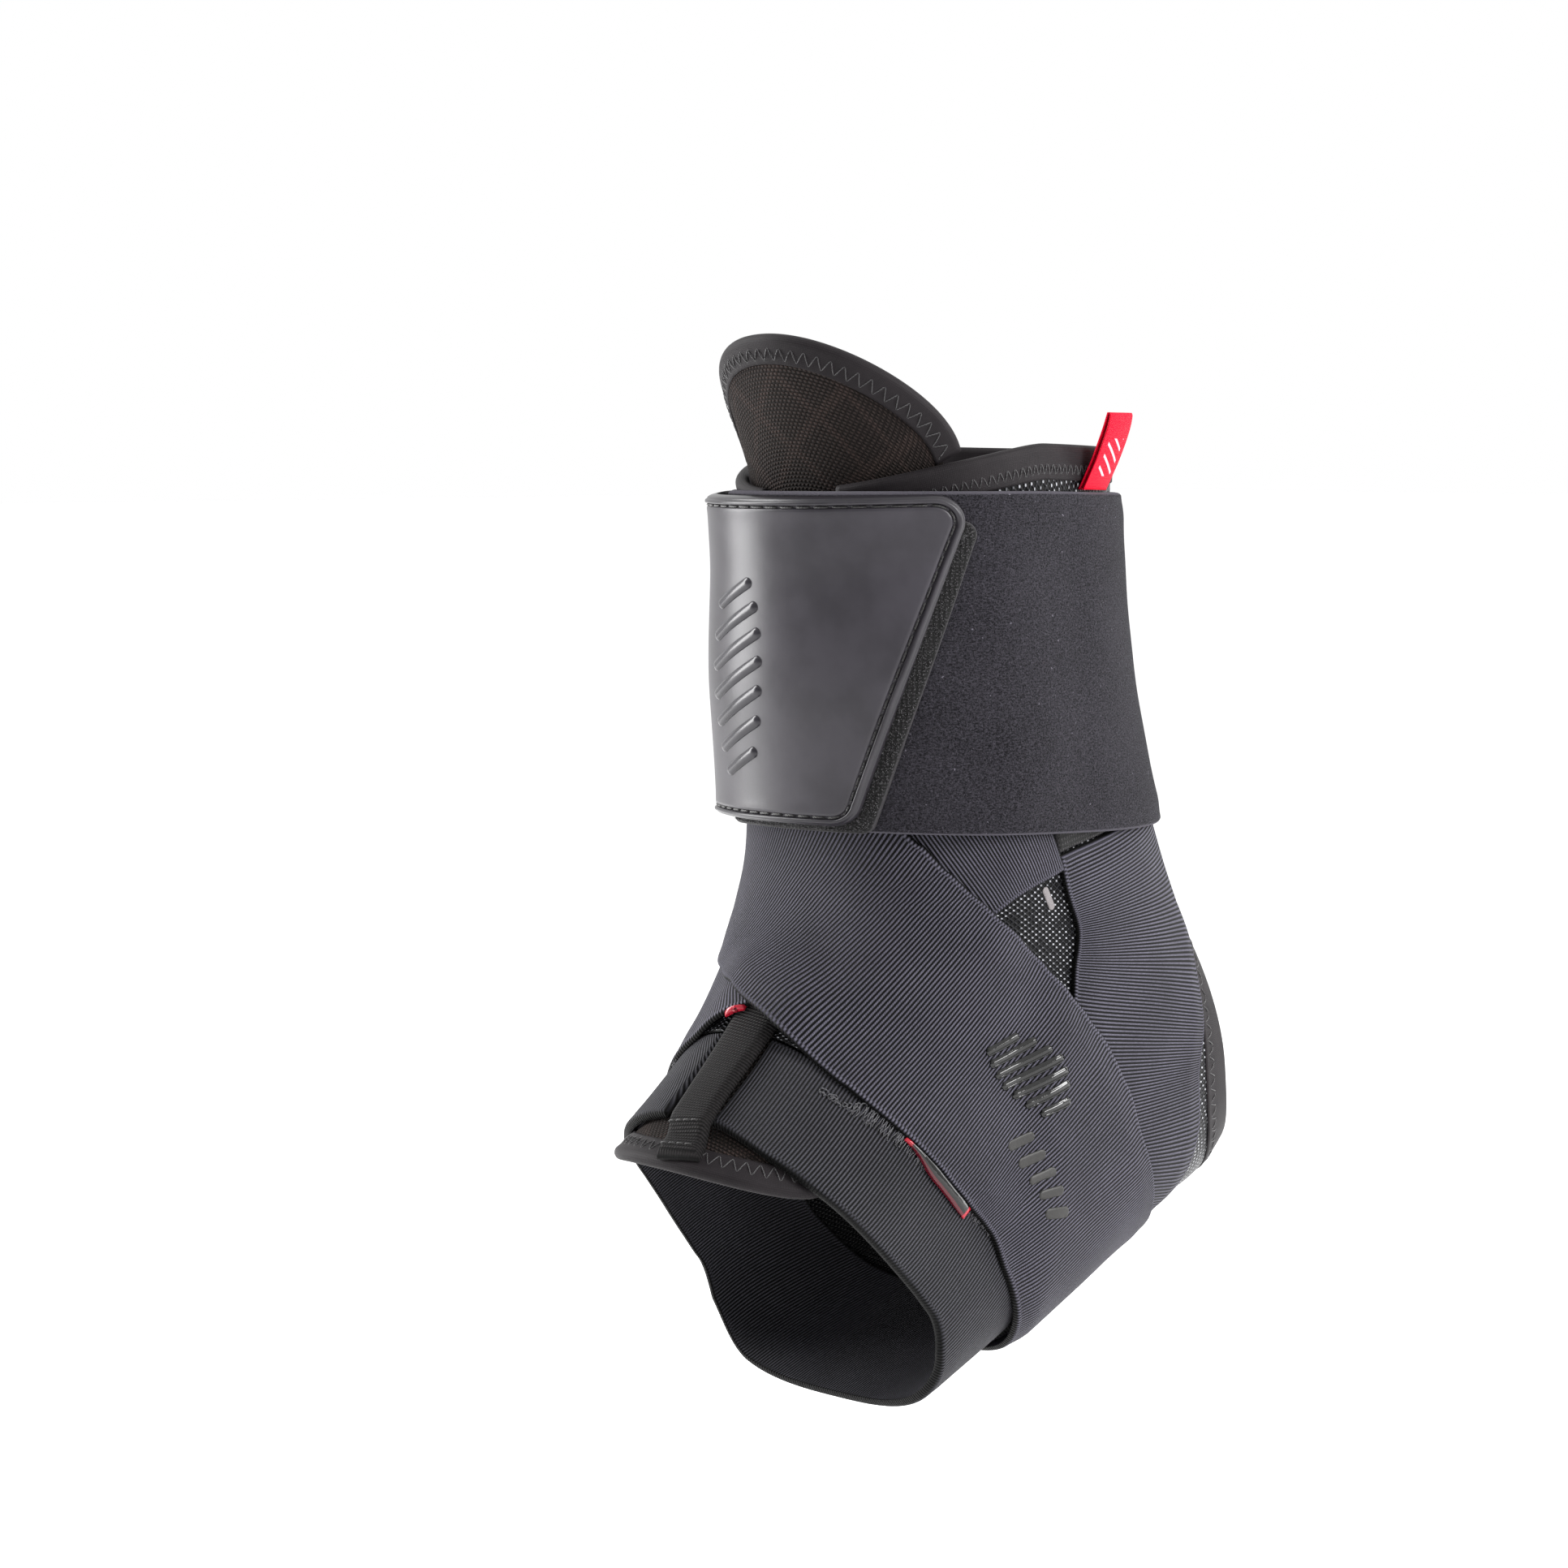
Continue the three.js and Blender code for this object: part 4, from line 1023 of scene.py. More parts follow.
def in_outline(place, outline):
    """Whether places lie inside a closed outline, by how often a line along the angles crosses it."""
    level, angle = place[..., 0], place[..., 1] % 360
    inside = np.zeros(level.shape, bool)
    for (level_a, angle_a), (level_b, angle_b) in zip(outline[:-1], outline[1:]):
        spans = (level_a > level) != (level_b > level)
        if spans.any():
            crossing = angle_a + (level - level_a) / (level_b - level_a) * (angle_b - angle_a)
            inside ^= spans & (angle < crossing)
    return inside


def body_piece():
    """The mesh body, with the heel opening left out and its edges tucked under the bindings."""
    share = np.linspace(0, 1, AROUND_STEPS)
    runs = share * top_line.length
    top_edge = top_line.beside(runs, np.full(len(runs), -1.2))
    seam_edge = band_route(1)(share)
    down = np.linspace(0, 1, BODY_STEPS)[:, None, None]
    grid = mixed(top_edge[None], seam_edge[None], down)
    along, across = measured(lifted(grid, BODY_THICKNESS))
    middle = (grid[:-1, :-1] + grid[1:, 1:]) / 2
    keep = ~in_outline(middle, heel_line.places) & (heel_cover.outside(middle) > 1.3)
    bottom = body_in(grid)
    edge = np.minimum(across, across[:, -1:] - across)
    top = bottom + rounded(edge, BODY_THICKNESS) + waves(along, across, 0.08, 3)
    rows_down = grid[..., 0] * MESH_PER_LEVEL
    rows_round = np.radians(grid[..., 1]) * MESH_RADIUS
    chart = np.stack([rows_down, rows_round, edge], -1)
    piece = cloth_piece(
        "body_mesh_cloth", grid, bottom, top, chart, net, keep, lined=True, slot="mesh_cloth",
        replaces=["body_shell"],
    )


def tape_section(width, half):
    """Both sides of a tape folded over an edge, from cut edge to cut edge: inward and upward for each."""
    flat = np.concatenate([width - np.array([0, 0.08, 0.25, 0.6]), np.linspace(width - 1.2, half + 0.3, 9)])
    fold = np.radians(np.linspace(90, 270, 15))
    sides = []
    for radius in (half, half - TAPE_THICKNESS):
        inward = np.concatenate([flat, half + radius * np.cos(fold), flat[::-1]])
        face = np.full(len(flat), radius)
        sides.append((inward, np.concatenate([face, radius * np.sin(fold), -face])))
    return sides


def binding_piece(name, line, width, outward, centre, half, node, pitch):
    """Tape folded over an edge, rounded at the fold and dimpled by its zigzag seam."""
    along = np.linspace(0, line.length, round(line.length / BINDING_STEP) + 1)
    if line.closed:
        along = along[:-1]
    ripple = 0.5 + 0.5 * np.cos(2 * np.pi * along / pitch)[:, None]
    sides = []
    for inward, upward in tape_section(width, half):
        dimple = SEAM_DEPTH * np.exp(-((inward - width + SEAM_INSET) / SEAM_REACH) ** 2) * ripple
        lip = LIP_DEPTH * (1 - smooth(width - inward, 0, 0.3))
        height = upward - np.sign(upward) * (dimple + lip * (np.abs(upward) > half - 0.01))
        grid = line.strip(along, inward * outward)
        sides.append(lifted(grid, centre(grid) + height))
        section = walked(np.stack([inward, upward], -1))
    rows, columns = sides[0].shape[:2]
    chart = chart_of(along, section, np.broadcast_to(width - inward, (rows, columns)))
    points = np.vstack([side.reshape(-1, 3) for side in sides])
    faces = shell_faces(rows, columns, closed=line.closed)
    charts = np.vstack([chart.reshape(-1, 3)] * 2)
    return mesh_piece(name, points, faces, charts, tape, "binding_tape", [node])


def zigzag(line, start, stop, middle, half, pitch, height):
    """Points of a zigzag seam along a line, rounded at its turns, at a height given by a function."""
    runs = np.arange(start, stop, pitch / 16)
    phase = 2 * np.pi * runs / pitch
    swing = np.arcsin(0.96 * np.sin(phase)) / (np.pi / 2)
    grid = line.beside(runs, middle + half * swing)
    bob = 0.12 * np.cos(2 * phase)
    return lifted(grid, height(grid) + bob)


def running_stitch(grid_of, start, stop, length, gap, height, lift=0.12, sink=0.35):
    """Dashes of thread: each comes up, lies on the surface and goes down again."""
    lines = []
    shape = np.array([-sink, -0.02, lift, lift, lift, -0.02, -sink])
    share = np.array(STITCH_SHARES)
    for first in np.arange(start, stop - length, length + gap):
        grid = grid_of(first + share * length)
        lines.append(lifted(grid, height(grid) + shape))
    return lines


def tongue_piece():
    """The padded tongue: its free top is blown up a little as cloth, the rest lies under the body."""
    ends = []
    for end in (TONGUE_TOP, TONGUE_TOE):
        arc = tongue_route(end)(np.linspace(0.035, 0.965, TONGUE_STEPS[1]))
        side = np.cross(form_normal(arc), unit(np.gradient(lifted(arc, TONGUE_THICKNESS), axis=0)))
        inset = np.full(len(arc), (TONGUE_BINDING_WIDTH - 2.5) * -end["turn"])
        ends.append(slide(arc, side, inset, TONGUE_THICKNESS))
    down = np.linspace(0, 1, TONGUE_STEPS[0])[:, None, None]
    grid = mixed(ends[0][None], ends[1][None], down)
    along, across = measured(lifted(grid, TONGUE_THICKNESS))
    across = across - across[:, -1:] / 2
    half = across[:, -1:]
    from_side = half - np.abs(across)
    edge = np.minimum(from_side, np.minimum(along, along[-1:] - along))
    free = 1 - smooth(grid[..., 0], 1.7, 2.1)
    round_side = np.sqrt(1 - (1 - np.clip(from_side / 1.4, 0, 1)) ** 2)
    top = 0.5 + (TONGUE_THICKNESS - 0.5) * round_side + waves(along, across, 0.12, 8) * free
    bottom = 0.3 * (1 - round_side) + 0.1
    chart = np.stack([along, across, edge], -1)
    replaces = ["tongue"]
    piece = cloth_piece("tongue_pad", grid, bottom, top, chart, knit, slot="tongue_knit", replaces=replaces)
    held = 1 - free * smooth(edge, 2.5, 6)
    puff(piece, np.concatenate([held.ravel(), held.ravel()]))
    smoothed(piece)


PUFF_FRAMES = 20
PUFF_CAP = 1.3
PUFF_SETTINGS = {
    "quality": 6,
    "mass": 0.25,
    "tension_stiffness": 12,
    "compression_stiffness": 12,
    "shear_stiffness": 8,
    "bending_stiffness": 0.4,
    "use_pressure": True,
    "uniform_pressure_force": 4.0,
    "vertex_group_mass": "held",
}


def puff(piece, held):
    """Swells a padded piece from inside where it isn't held, and keeps the result in its mesh."""
    group = piece.vertex_groups.new(name="held")
    for number, weight in enumerate(held.tolist()):
        group.add([number], weight, "REPLACE")
    cloth = piece.modifiers.new("cloth", "CLOTH")
    for key, value in PUFF_SETTINGS.items():
        setattr(cloth.settings, key, value)
    cloth.settings.effector_weights.gravity = 0
    cloth.collision_settings.use_collision = False
    cloth.point_cache.frame_start = 1
    cloth.point_cache.frame_end = PUFF_FRAMES
    for number in range(1, PUFF_FRAMES + 1):
        bpy.context.scene.frame_set(number)
    shaped = piece.evaluated_get(bpy.context.evaluated_depsgraph_get())
    before = np.empty(len(piece.data.vertices) * 3)
    after = before.copy()
    piece.data.vertices.foreach_get("co", before)
    shaped.data.vertices.foreach_get("co", after)
    move = (after - before).reshape(-1, 3)
    far = np.linalg.norm(move, axis=1, keepdims=True)
    move *= np.minimum(1, PUFF_CAP * MM / np.maximum(far, 1e-9)) * (1 - held)[:, None]
    piece.modifiers.remove(cloth)
    piece.data.vertices.foreach_set("co", before + move.ravel())
    piece.data.update()
    bpy.context.scene.frame_set(1)


def smoothed(piece):
    """One subdivision, kept in the mesh."""
    piece.modifiers.new("finer", "SUBSURF").levels = 1
    shaped = piece.evaluated_get(bpy.context.evaluated_depsgraph_get())
    mesh = bpy.data.meshes.new_from_object(shaped)
    piece.modifiers.clear()
    piece.data = mesh


def tongue_middle(place):
    return np.full(place.shape[:-1], TONGUE_FULL / 2)


def body_middle(place):
    return body_in(place) + BODY_THICKNESS / 2


def tongue_binding(name, end, node):
    route = tongue_route(end)
    line = Line(lambda share: route(0.025 + 0.95 * share), TONGUE_THICKNESS)
    piece = binding_piece(
        name, line, TONGUE_BINDING_WIDTH, -end["turn"], tongue_middle, TONGUE_FULL / 2, node, 3.2
    )
    return line


def cuff_piece():
    line = Line(cuff_route, CUFF_LIFT)
    along = spaced(0, line.length, CLOTH_STEP)
    across = spaced(-CUFF_HEIGHT / 2, CUFF_HEIGHT / 2, CLOTH_STEP)
    edge = edge_distance(along, across)
    grid = line.strip(along, across)
    bottom, top = layer(cuff_in(grid), edge, CUFF_THICKNESS)
    top = top + waves(along[:, None], across, 0.12, 5) * smooth(edge, 1, 8)
    piece = cloth_piece(
        "cuff_loop_cloth", grid, bottom, top, chart_of(along, across, edge), cuff_cloth,
        slot="loop_cloth", replaces=["cuff_band"],
    )


def band_piece():
    """The midfoot band, from its seam with the mesh body to the toe edge."""
    share = np.linspace(0, 1, AROUND_STEPS)
    seam_line = Line(band_route(1), BODY_THICKNESS)
    toe_line = Line(band_route(2), BODY_THICKNESS)
    seam = seam_line.beside(share * seam_line.length, np.full(len(share), -0.1))
    toe = toe_line.at(share * toe_line.length)
    down = spaced(0, 45, 1.2) / 45
    grid = mixed(seam[None], toe[None], down[:, None, None])
    along, across = measured(lifted(grid, BODY_THICKNESS))
    from_ends = np.minimum(across, across[:, -1:] - across)
    edge = np.minimum(from_ends, np.minimum(along, along[-1:] - along))
    bottom = body_in(grid) - 0.3
    top = body_in(grid) + rounded(edge, BODY_THICKNESS - 0.2) + 0.2 * smooth(edge, 1, 5)
    top = top + waves(along, across, 0.1, 6) * smooth(edge, 1, 6)
    chart = np.stack([across, along, edge], -1)
    piece = cloth_piece(
        "midfoot_band_cloth", grid, bottom, top, chart, band_cloth,
        slot="band_cloth", replaces=["midfoot_band"],
    )
    return seam_line


def overlock(seam_line):
    """The fuzzy row of overlock loops on the band's upper edge."""
    rng = np.random.default_rng(11)
    lines = []
    turn = np.linspace(0, 1, 9)
    arch = np.sin(np.pi * turn)
    stop = seam_line.length - OVERLOCK_TRIM
    for run in np.arange(OVERLOCK_TRIM, stop, OVERLOCK_PITCH):
        full = smooth(min(run - OVERLOCK_TRIM, stop - run), -3, 16)
        wide = OVERLOCK_WIDTH * full + rng.normal(0, 0.55)
        lean = rng.normal(0, 0.9)
        across = OVERLOCK_START + rng.normal(0, 0.25) + wide * arch
        along = run + lean * turn + 0.5 * np.sin(2 * np.pi * turn)
        grid = seam_line.beside(along, across)
        height = body_out(grid) + 0.15 + 0.3 * arch + rng.normal(0, 0.06)
        lines.append(lifted(grid, height))
    tubes("overlock_loops", lines, 0.12, overlock_thread, 4, slot="band_cloth")


def pull_tab():
    """Webbing that lies down the instep, its lower end folded under and sewn down."""
    along = spaced(0, pull_line.length, 1.0)
    across = spaced(-PULL_TAB_WIDTH / 2, PULL_TAB_WIDTH / 2, 0.9)
    edge = edge_distance(along, across)
    wide = 1.18 - 0.18 * smooth(along, 0, 0.7 * pull_line.length)[:, None]
    grid = pull_line.beside(along[:, None] + 0 * across, across * wide)
    bottom = pull_in(grid) - SINK
    top = bottom + rounded(edge, WEBBING_THICKNESS) + SINK * smooth(edge, 0.2, 1.6)
    end = smooth(along - pull_line.length, -9.5, -8.6)[:, None]
    top = top + end * PULL_FOLD * smooth(edge, 0, 0.9)
    piece = cloth_piece(
        "pull_tab_webbing", grid, bottom, top, chart_of(along, across, edge), webbing,
        slot="webbing", replaces=["pull_tab"],
    )

    def surface(place):
        return pull_in(place) + WEBBING_THICKNESS + PULL_FOLD

    lines = []
    for back in PULL_SEAMS:
        run = pull_line.length - back

        def across_tab(step, run=run):
            return pull_line.beside(np.full(len(step), run), step)

        lines += running_stitch(across_tab, -4.2, 4.4, 1.5, 0.35, surface)
    tubes("pull_tab_stitches", lines, 0.17, dark_thread, slot="webbing")


def plate_outline(plate, inset):
    """A plate's outline on the cuff's chart, a distance inside its edge: upright back, slanted front."""
    top, low = plate["high"] - inset, plate["low"] + inset
    slope = (TAB_TOP_REACH - TAB_BOTTOM_REACH) / CUFF_HEIGHT
    back = -plate["back"] + inset
    shift = inset * math.hypot(1, slope)

    def front(across):
        return TAB_BOTTOM_REACH + (across + CUFF_HEIGHT / 2) * slope + plate["border"] - shift

    corners = [Vector(pair) for pair in ((back, low), (front(low), low), (front(top), top), (back, top))]
    radius = max(plate["corner"] - inset, 0.4)
    arcs = []
    for k, corner in enumerate(corners):
        before, after = corners[k - 1] - corner, corners[(k + 1) % 4] - corner
        half = math.tan(before.angle(after) / 2)
        cut = min(radius / half, 0.45 * before.length, 0.45 * after.length)
        before.normalize()
        after.normalize()
        centre = corner + (before + after).normalized() * (cut * half / math.sin(math.atan(half)))
        first, last = corner + before * cut - centre, corner + after * cut - centre
        turn = first.angle_signed(last)
        shares = np.linspace(0, 1, plate["corner_points"])
        arcs.append([centre + Matrix.Rotation(-turn * share, 2) @ first for share in shares])
    points = []
    for k, arc in enumerate(arcs):
        end = arcs[(k + 1) % 4][0]
        shares = np.linspace(0, 1, plate["side_points"] + 2)[1:-1]
        points += arc + [arc[-1].lerp(end, share) for share in shares]
    return np.array([tuple(point) for point in points])


def plate_piece(name, plate, insets, profile, base, material, slot, replaces):
    """A plate in rings from its outline inwards, with a height profile by distance from the edge."""
    rings = [plate_outline(plate, inset) for inset in insets]
    centre = rings[-1].mean(0)
    last = insets[-1]
    rings += [centre + (rings[-1] - centre) * share for share in (0.75, 0.5, 0.25, 0.05)]
    chart = np.array(rings)
    distance = np.concatenate([insets, last + np.arange(1, 5)])
    distance = np.broadcast_to(distance[:, None], chart.shape[:2])
    grid = on_cuff(chart[..., 0], chart[..., 1])
    sides = [lifted(grid, height) for height in profile(base(grid), distance)[::-1]]
    rows, columns = grid.shape[:2]
    index = np.arange(rows * columns).reshape(rows, columns)
    ring = np.roll(index, -1, axis=1)
    under = rows * columns
    tips = [np.full(columns, 2 * under + k) for k in range(2)]
    faces = np.vstack([
        np.stack([index[:-1], ring[:-1], ring[1:], index[1:]], -1).reshape(-1, 4),
        np.stack([index[1:], ring[1:], ring[:-1], index[:-1]], -1).reshape(-1, 4) + under,
        np.stack([ring[0], index[0], index[0] + under, ring[0] + under], -1),
        np.stack([index[-1], ring[-1], tips[0], tips[0]], -1),
        np.stack([ring[-1] + under, index[-1] + under, tips[1], tips[1]], -1),
    ])
    points = np.vstack([side.reshape(-1, 3) for side in sides] + [side[-1].mean(0) for side in sides])
    marks = np.concatenate([chart, distance[..., None]], -1).reshape(-1, 3)
    marks = np.vstack([marks, marks, [[*centre, last]] * 2])
    if volume(points, faces) < 0:
        faces = faces[:, [1, 0, 3, 2]]
    return mesh_piece(name, points, faces, marks, material, slot, replaces, turn=False)


TAB_PLATE = {
    "low": TAB_SHORT - CUFF_HEIGHT / 2, "high": CUFF_HEIGHT / 2, "back": TAB_BACK_REACH, "border": 0.0,
    "corner": TAB_CORNER, "corner_points": 14, "side_points": 60,
}
PAD_PLATE = {
    "low": -CUFF_HEIGHT / 2, "high": CUFF_HEIGHT / 2 - HOOK_TOP_DROP, "back": HOOK_BACK_REACH,
    "border": HOOK_BORDER, "corner": TAB_CORNER / 2, "corner_points": 8, "side_points": 50,
}
# The closure tab's section from its edge inwards: distance, and height over its plain face
RIM_PROFILE = [
    [0.0, -1.5],
    [0.06, -0.95],
    [0.19, -0.5],
    [0.34, -0.32],
    [0.56, -0.24],
    [0.65, -0.06],
    [0.78, 0.16],
    [0.99, 0.3],
    [1.33, 0.32],
    [1.55, 0.2],
    [1.71, -0.1],
    [1.86, -0.42],
    [2.11, -0.5],
    [2.36, -0.42],
    [2.51, -0.12],
    [2.67, 0.02],
    [3.22, 0.05],
    [4.34, 0.02],
    [5.58, 0.0],
]
GROOVE = 2.1
GROOVE_DEPTH = 0.42
TAB_STITCH = (2.7, 0.75)  # length and gap


def tab_profile(base, distance):
    shape = np.array(RIM_PROFILE)
    rise = np.interp(distance, shape[:, 0], shape[:, 1])
    return base - SINK, base + TAB_THICKNESS + rise


def closure_tab():
    insets = np.concatenate([np.array(RIM_PROFILE)[:, 0], np.arange(6.9, 33, CLOTH_STEP)])
    plate_piece(
        "closure_tab_shell", TAB_PLATE, insets, tab_profile, tab_in, tab_plastic,
        "moulded_tab", ["closure_tab"],
    )
    outline = plate_outline(TAB_PLATE, GROOVE)
    closed = np.vstack([outline, outline[:1]])
    runs = walked(closed)

    def in_groove(run):
        return on_cuff(*traced(closed, runs, run).T)

    def groove_floor(place):
        return tab_in(place) + TAB_THICKNESS - GROOVE_DEPTH

    lines = running_stitch(in_groove, 0.0, runs[-1] + 3, *TAB_STITCH, groove_floor, lift=0.2)
    tubes("closure_tab_stitches", lines, 0.24, dark_thread, 6, slot="moulded_tab")


GRIP = {
    "ridges": 7, "lean": 28, "half": 9.5, "radius": 1.35, "pitch": 6.0, "middle": (-7.0, -3.0),
    "rise": 0.7, "sunk": 0.25,
}


def grip_ridges():
    """Slanted rounded ridges in a lens shape, for the fingers."""
    parts = []
    lean = math.radians(GRIP["lean"])
    along_axis = np.array([math.cos(lean), math.sin(lean)])
    across_axis = np.array([-along_axis[1], along_axis[0]])
    around = [np.sin(np.linspace(-1, 1, count) * np.pi / 2) for count in (40, 15)]
    uu, vv = np.meshgrid(*around, indexing="ij")
    radius = GRIP["radius"]
    for k in range(GRIP["ridges"]):
        place = k - (GRIP["ridges"] - 1) / 2
        half = GRIP["half"] * math.sqrt(1 - (place / (GRIP["ridges"] / 2 + 0.5)) ** 2)
        middle = np.array(GRIP["middle"]) + [0, place * GRIP["pitch"]]
        past = np.clip(np.abs(uu) * half - (half - radius), 0, radius)
        width = radius * np.sqrt(np.clip(1 - past**2 / radius**2, 0, 1))
        spot = middle + (uu * half)[..., None] * along_axis
        spot = spot + (vv * (width + 0.02))[..., None] * across_axis
        rim = np.sqrt(np.clip(1 - vv**2, 0, 1)) * np.clip(width / radius, 0, 1)
        grid = on_cuff(spot[..., 0], spot[..., 1])
        face = tab_in(grid) + TAB_THICKNESS
        mark = np.concatenate([spot, np.full((*uu.shape, 1), 5.0)], -1)
        top = face - GRIP["sunk"] + (GRIP["rise"] + GRIP["sunk"]) * rim
        parts.append(two_sided(grid, top, face - 0.6, mark))
    mesh_piece("closure_tab_ridges", *joined(parts), ridge_plastic, "moulded_tab")


def pad_profile(base, distance):
    return base - SINK, base + np.minimum(rounded(distance, HOOK_THICKNESS), HOOK_THICKNESS)


def pad_in(place):
    return cuff_out(place) + LAYER_GAP


def hooks_foot(place):
    return pad_in(place) + HOOK_THICKNESS - 0.1


def hook_pad():
    """The hook cloth under the closure tab, with loose hooks along its seen border."""
    insets = np.concatenate([EDGE_STEPS[:6], np.arange(1.8, 22, CLOTH_STEP)])
    piece = plate_piece(
        "hook_pad_cloth", PAD_PLATE, insets, pad_profile, pad_in, hook_material,
        "hook_cloth", ["hook_pad"],
    )
    outline = plate_outline(PAD_PLATE, 0)
    rng = np.random.default_rng(21)
    closed = np.vstack([outline, outline[:1]])
    runs = walked(closed)
    run = rng.uniform(0, runs[-1], HOOK_COUNT)
    inward = rng.uniform(*HOOK_INWARD, HOOK_COUNT)
    spot = traced(closed, runs, run)
    ahead = traced(closed, runs, run + 0.5) - spot
    normal = np.stack([-ahead[:, 1], ahead[:, 0]], -1)
    normal /= np.linalg.norm(ahead, axis=1, keepdims=True) + 1e-6
    spot = spot + normal * inward[:, None]
    spikes("hook_pad_hooks", on_cuff(*spot.T), hooks_foot, rng, hook_fibre, "hook_cloth")


def spikes(name, place, height, rng, material, slot):
    """Many short bent hooks, as three-sided spikes that stand on a surface."""
    foot = lifted(place, height(place))
    up = form_normal(place)
    lean = unit(rng.normal(0, 1, up.shape))
    side = unit(np.cross(up, lean))
    other = np.cross(up, side)
    tall = HOOK_LENGTH * rng.uniform(0.6, 1.15, len(foot))[:, None]
    tip = foot + up * tall + lean * tall * 0.55
    corners = [foot + HOOK_RADIUS * (side * math.cos(a) + other * math.sin(a)) for a in (0, 2.094, 4.189)]
    points = np.stack([*corners, tip], 1).reshape(-1, 3)
    first = np.arange(len(foot))[:, None] * 4
    faces = np.concatenate([first + f for f in ([0, 1, 3], [1, 2, 3], [2, 0, 3], [2, 1, 0])])
    mesh_piece(name, points, faces, np.tile([0, 0, 3.0], (len(points), 1)), material, slot)


def rear_label():
    """A folded satin ribbon label that stands on the top binding behind the ankle."""
    middle = float(chart_run(LABEL_ANGLE)) - chart_zero
    foot = CUFF_HEIGHT / 2 + SEAM_GAP
    across = spaced(-LABEL_WIDTH / 2, LABEL_WIDTH / 2, 0.8)
    rise = np.linspace(0, LABEL_HEIGHT, 40)
    bow = 0.5 * np.sin(np.pi * rise / rise[-1])
    gape = 0.7 * np.sqrt(1 - (rise / rise[-1]) ** 8)
    out = np.concatenate([gape + bow, (bow - 0.1)[::-1]])[:, None]
    up = np.concatenate([rise, rise[::-1]])
    tall = up[:, None]
    grid = on_cuff(middle + across[None] + LABEL_SLANT * tall, foot + tall + 0 * across)
    base = body_out(grid) + BINDING_PROUD + tall * LABEL_LEAN + out
    from_side = np.minimum(across - across[0], across[-1] - across)
    chart = chart_of(up, across, np.broadcast_to(from_side, grid.shape[:2]))
    outer = np.repeat([LABEL_THICKNESS, -LABEL_THICKNESS], len(rise))[:, None]
    shape = two_sided(grid, base + outer, base, chart)
    piece = mesh_piece("rear_label_ribbon", *shape, label_red, "label_ribbon", ["rear_label"])


def edge_tag(name, line, tag, base, material, slot, node):
    """A narrow tag caught in a strap's edge, rounded along its outer side."""
    along = spaced(tag["from"] * line.length, tag["to"] * line.length, 0.6)
    start = STRAP_WIDTH / 2 - 0.3
    outward = tag["width"] * (0.5 - 0.5 * np.cos(np.linspace(0, np.pi, 15)))
    narrow = (0.3 + 0.7 * smooth(along - along[0], 0, tag["taper"]))[:, None]
    across = tag["side"] * (start + outward)
    edge = edge_distance(along, np.sort(across))
    grid = line.beside(along[:, None] + 0 * across, tag["side"] * (start + outward * narrow))
    bottom = base(grid) - SINK
    share = np.abs(np.abs(across) - start) / tag["width"]
    bow = np.sqrt(np.sin(np.pi * np.clip((along - along[0]) / (along[-1] - along[0]), 0, 1)))[:, None]
    low = bottom + 0.35 * bow * share
    arch = np.sqrt(np.clip(1 - (2 * share - 1) ** 2, 0, 1))
    top = bottom + 0.5 + (TAG_THICKNESS - 0.2) * bow * arch
    chart = chart_of(along, np.abs(across) - start, edge)
    cloth_piece(name, grid, low, top, chart, material, slot=slot, replaces=[node])


def raised_print(name, line, shapes, base, rise, material, slot):
    """Flat rounded bars on a layer beside a line, each given by its middle, size and turn."""
    parts = []
    u, v = np.meshgrid(np.linspace(-1, 1, 21), np.linspace(-1, 1, 9), indexing="ij")
    for run, across, length, width, turn in shapes:
        radius = min(width, length) / 2
        over = np.clip(np.abs(u) * length / 2 - (length / 2 - radius), 0, radius)
        wide = np.sqrt(np.clip(radius**2 - over**2, 1e-4, None)) + width / 2 - radius
        x = u * length / 2
        y = v * wide
        c, s = math.cos(math.radians(turn)), math.sin(math.radians(turn))
        grid = line.beside(run + x * c - y * s, across + x * s + y * c)
        rim = np.minimum((1 - np.abs(u)) * length / 2, (1 - np.abs(v)) * wide)
        top = base(grid) + rise * np.sqrt(smooth(rim, -0.05, 0.45)) + 0.02
        parts.append(two_sided(grid, top, base(grid) - 0.25, np.stack([x + run, y, rim], -1)))
    mesh_piece(name, *joined(parts), material, slot)


strap_pieces("under_strap", under_line, above_body, 1)
strap_pieces("over_strap", over_line, over_in, 2)
body_piece()
tongue_piece()
BODY_HALF = BODY_THICKNESS / 2 + BINDING_PROUD
BINDINGS = [
    ["top_binding", top_line, TOP_BINDING_WIDTH, 2.0],
    ["heel_binding", heel_line, HEEL_BINDING_WIDTH, 3.0],
]
for node, line, width, pitch in BINDINGS:
    piece = binding_piece(node + "_tape", line, width, -1, body_middle, BODY_HALF, node, pitch)
tongue_top_line = tongue_binding("tongue_top_tape", TONGUE_TOP, "tongue_top_binding")
tongue_toe_line = tongue_binding("tongue_toe_tape", TONGUE_TOE, "tongue_toe_binding")
cuff_piece()
overlock(band_piece())
pull_tab()
closure_tab()
grip_ridges()
hook_pad()
rear_label()
tag_cloth = coated_tag(
    "side_tag_coating",
    (0.002, 0.002, 0.002),
    (0.09, 0.005, 0.012),
    (0.34, 0.01, 0.024),
    SIDE_TAG["from"] * over_line.length,
    SIDE_TAG["to"] * over_line.length,
    SIDE_TAG["width"],
)
edge_tag("side_tag_strip", over_line, SIDE_TAG, above_body, tag_cloth, "side_tag_tape", "side_tag")
edge_tag("front_tag_strip", under_line, FRONT_TAG, above_body, red_tape, "front_tag_tape", "front_tag")


def binding_top(place):
    return body_out(place) + BINDING_PROUD - 0.05


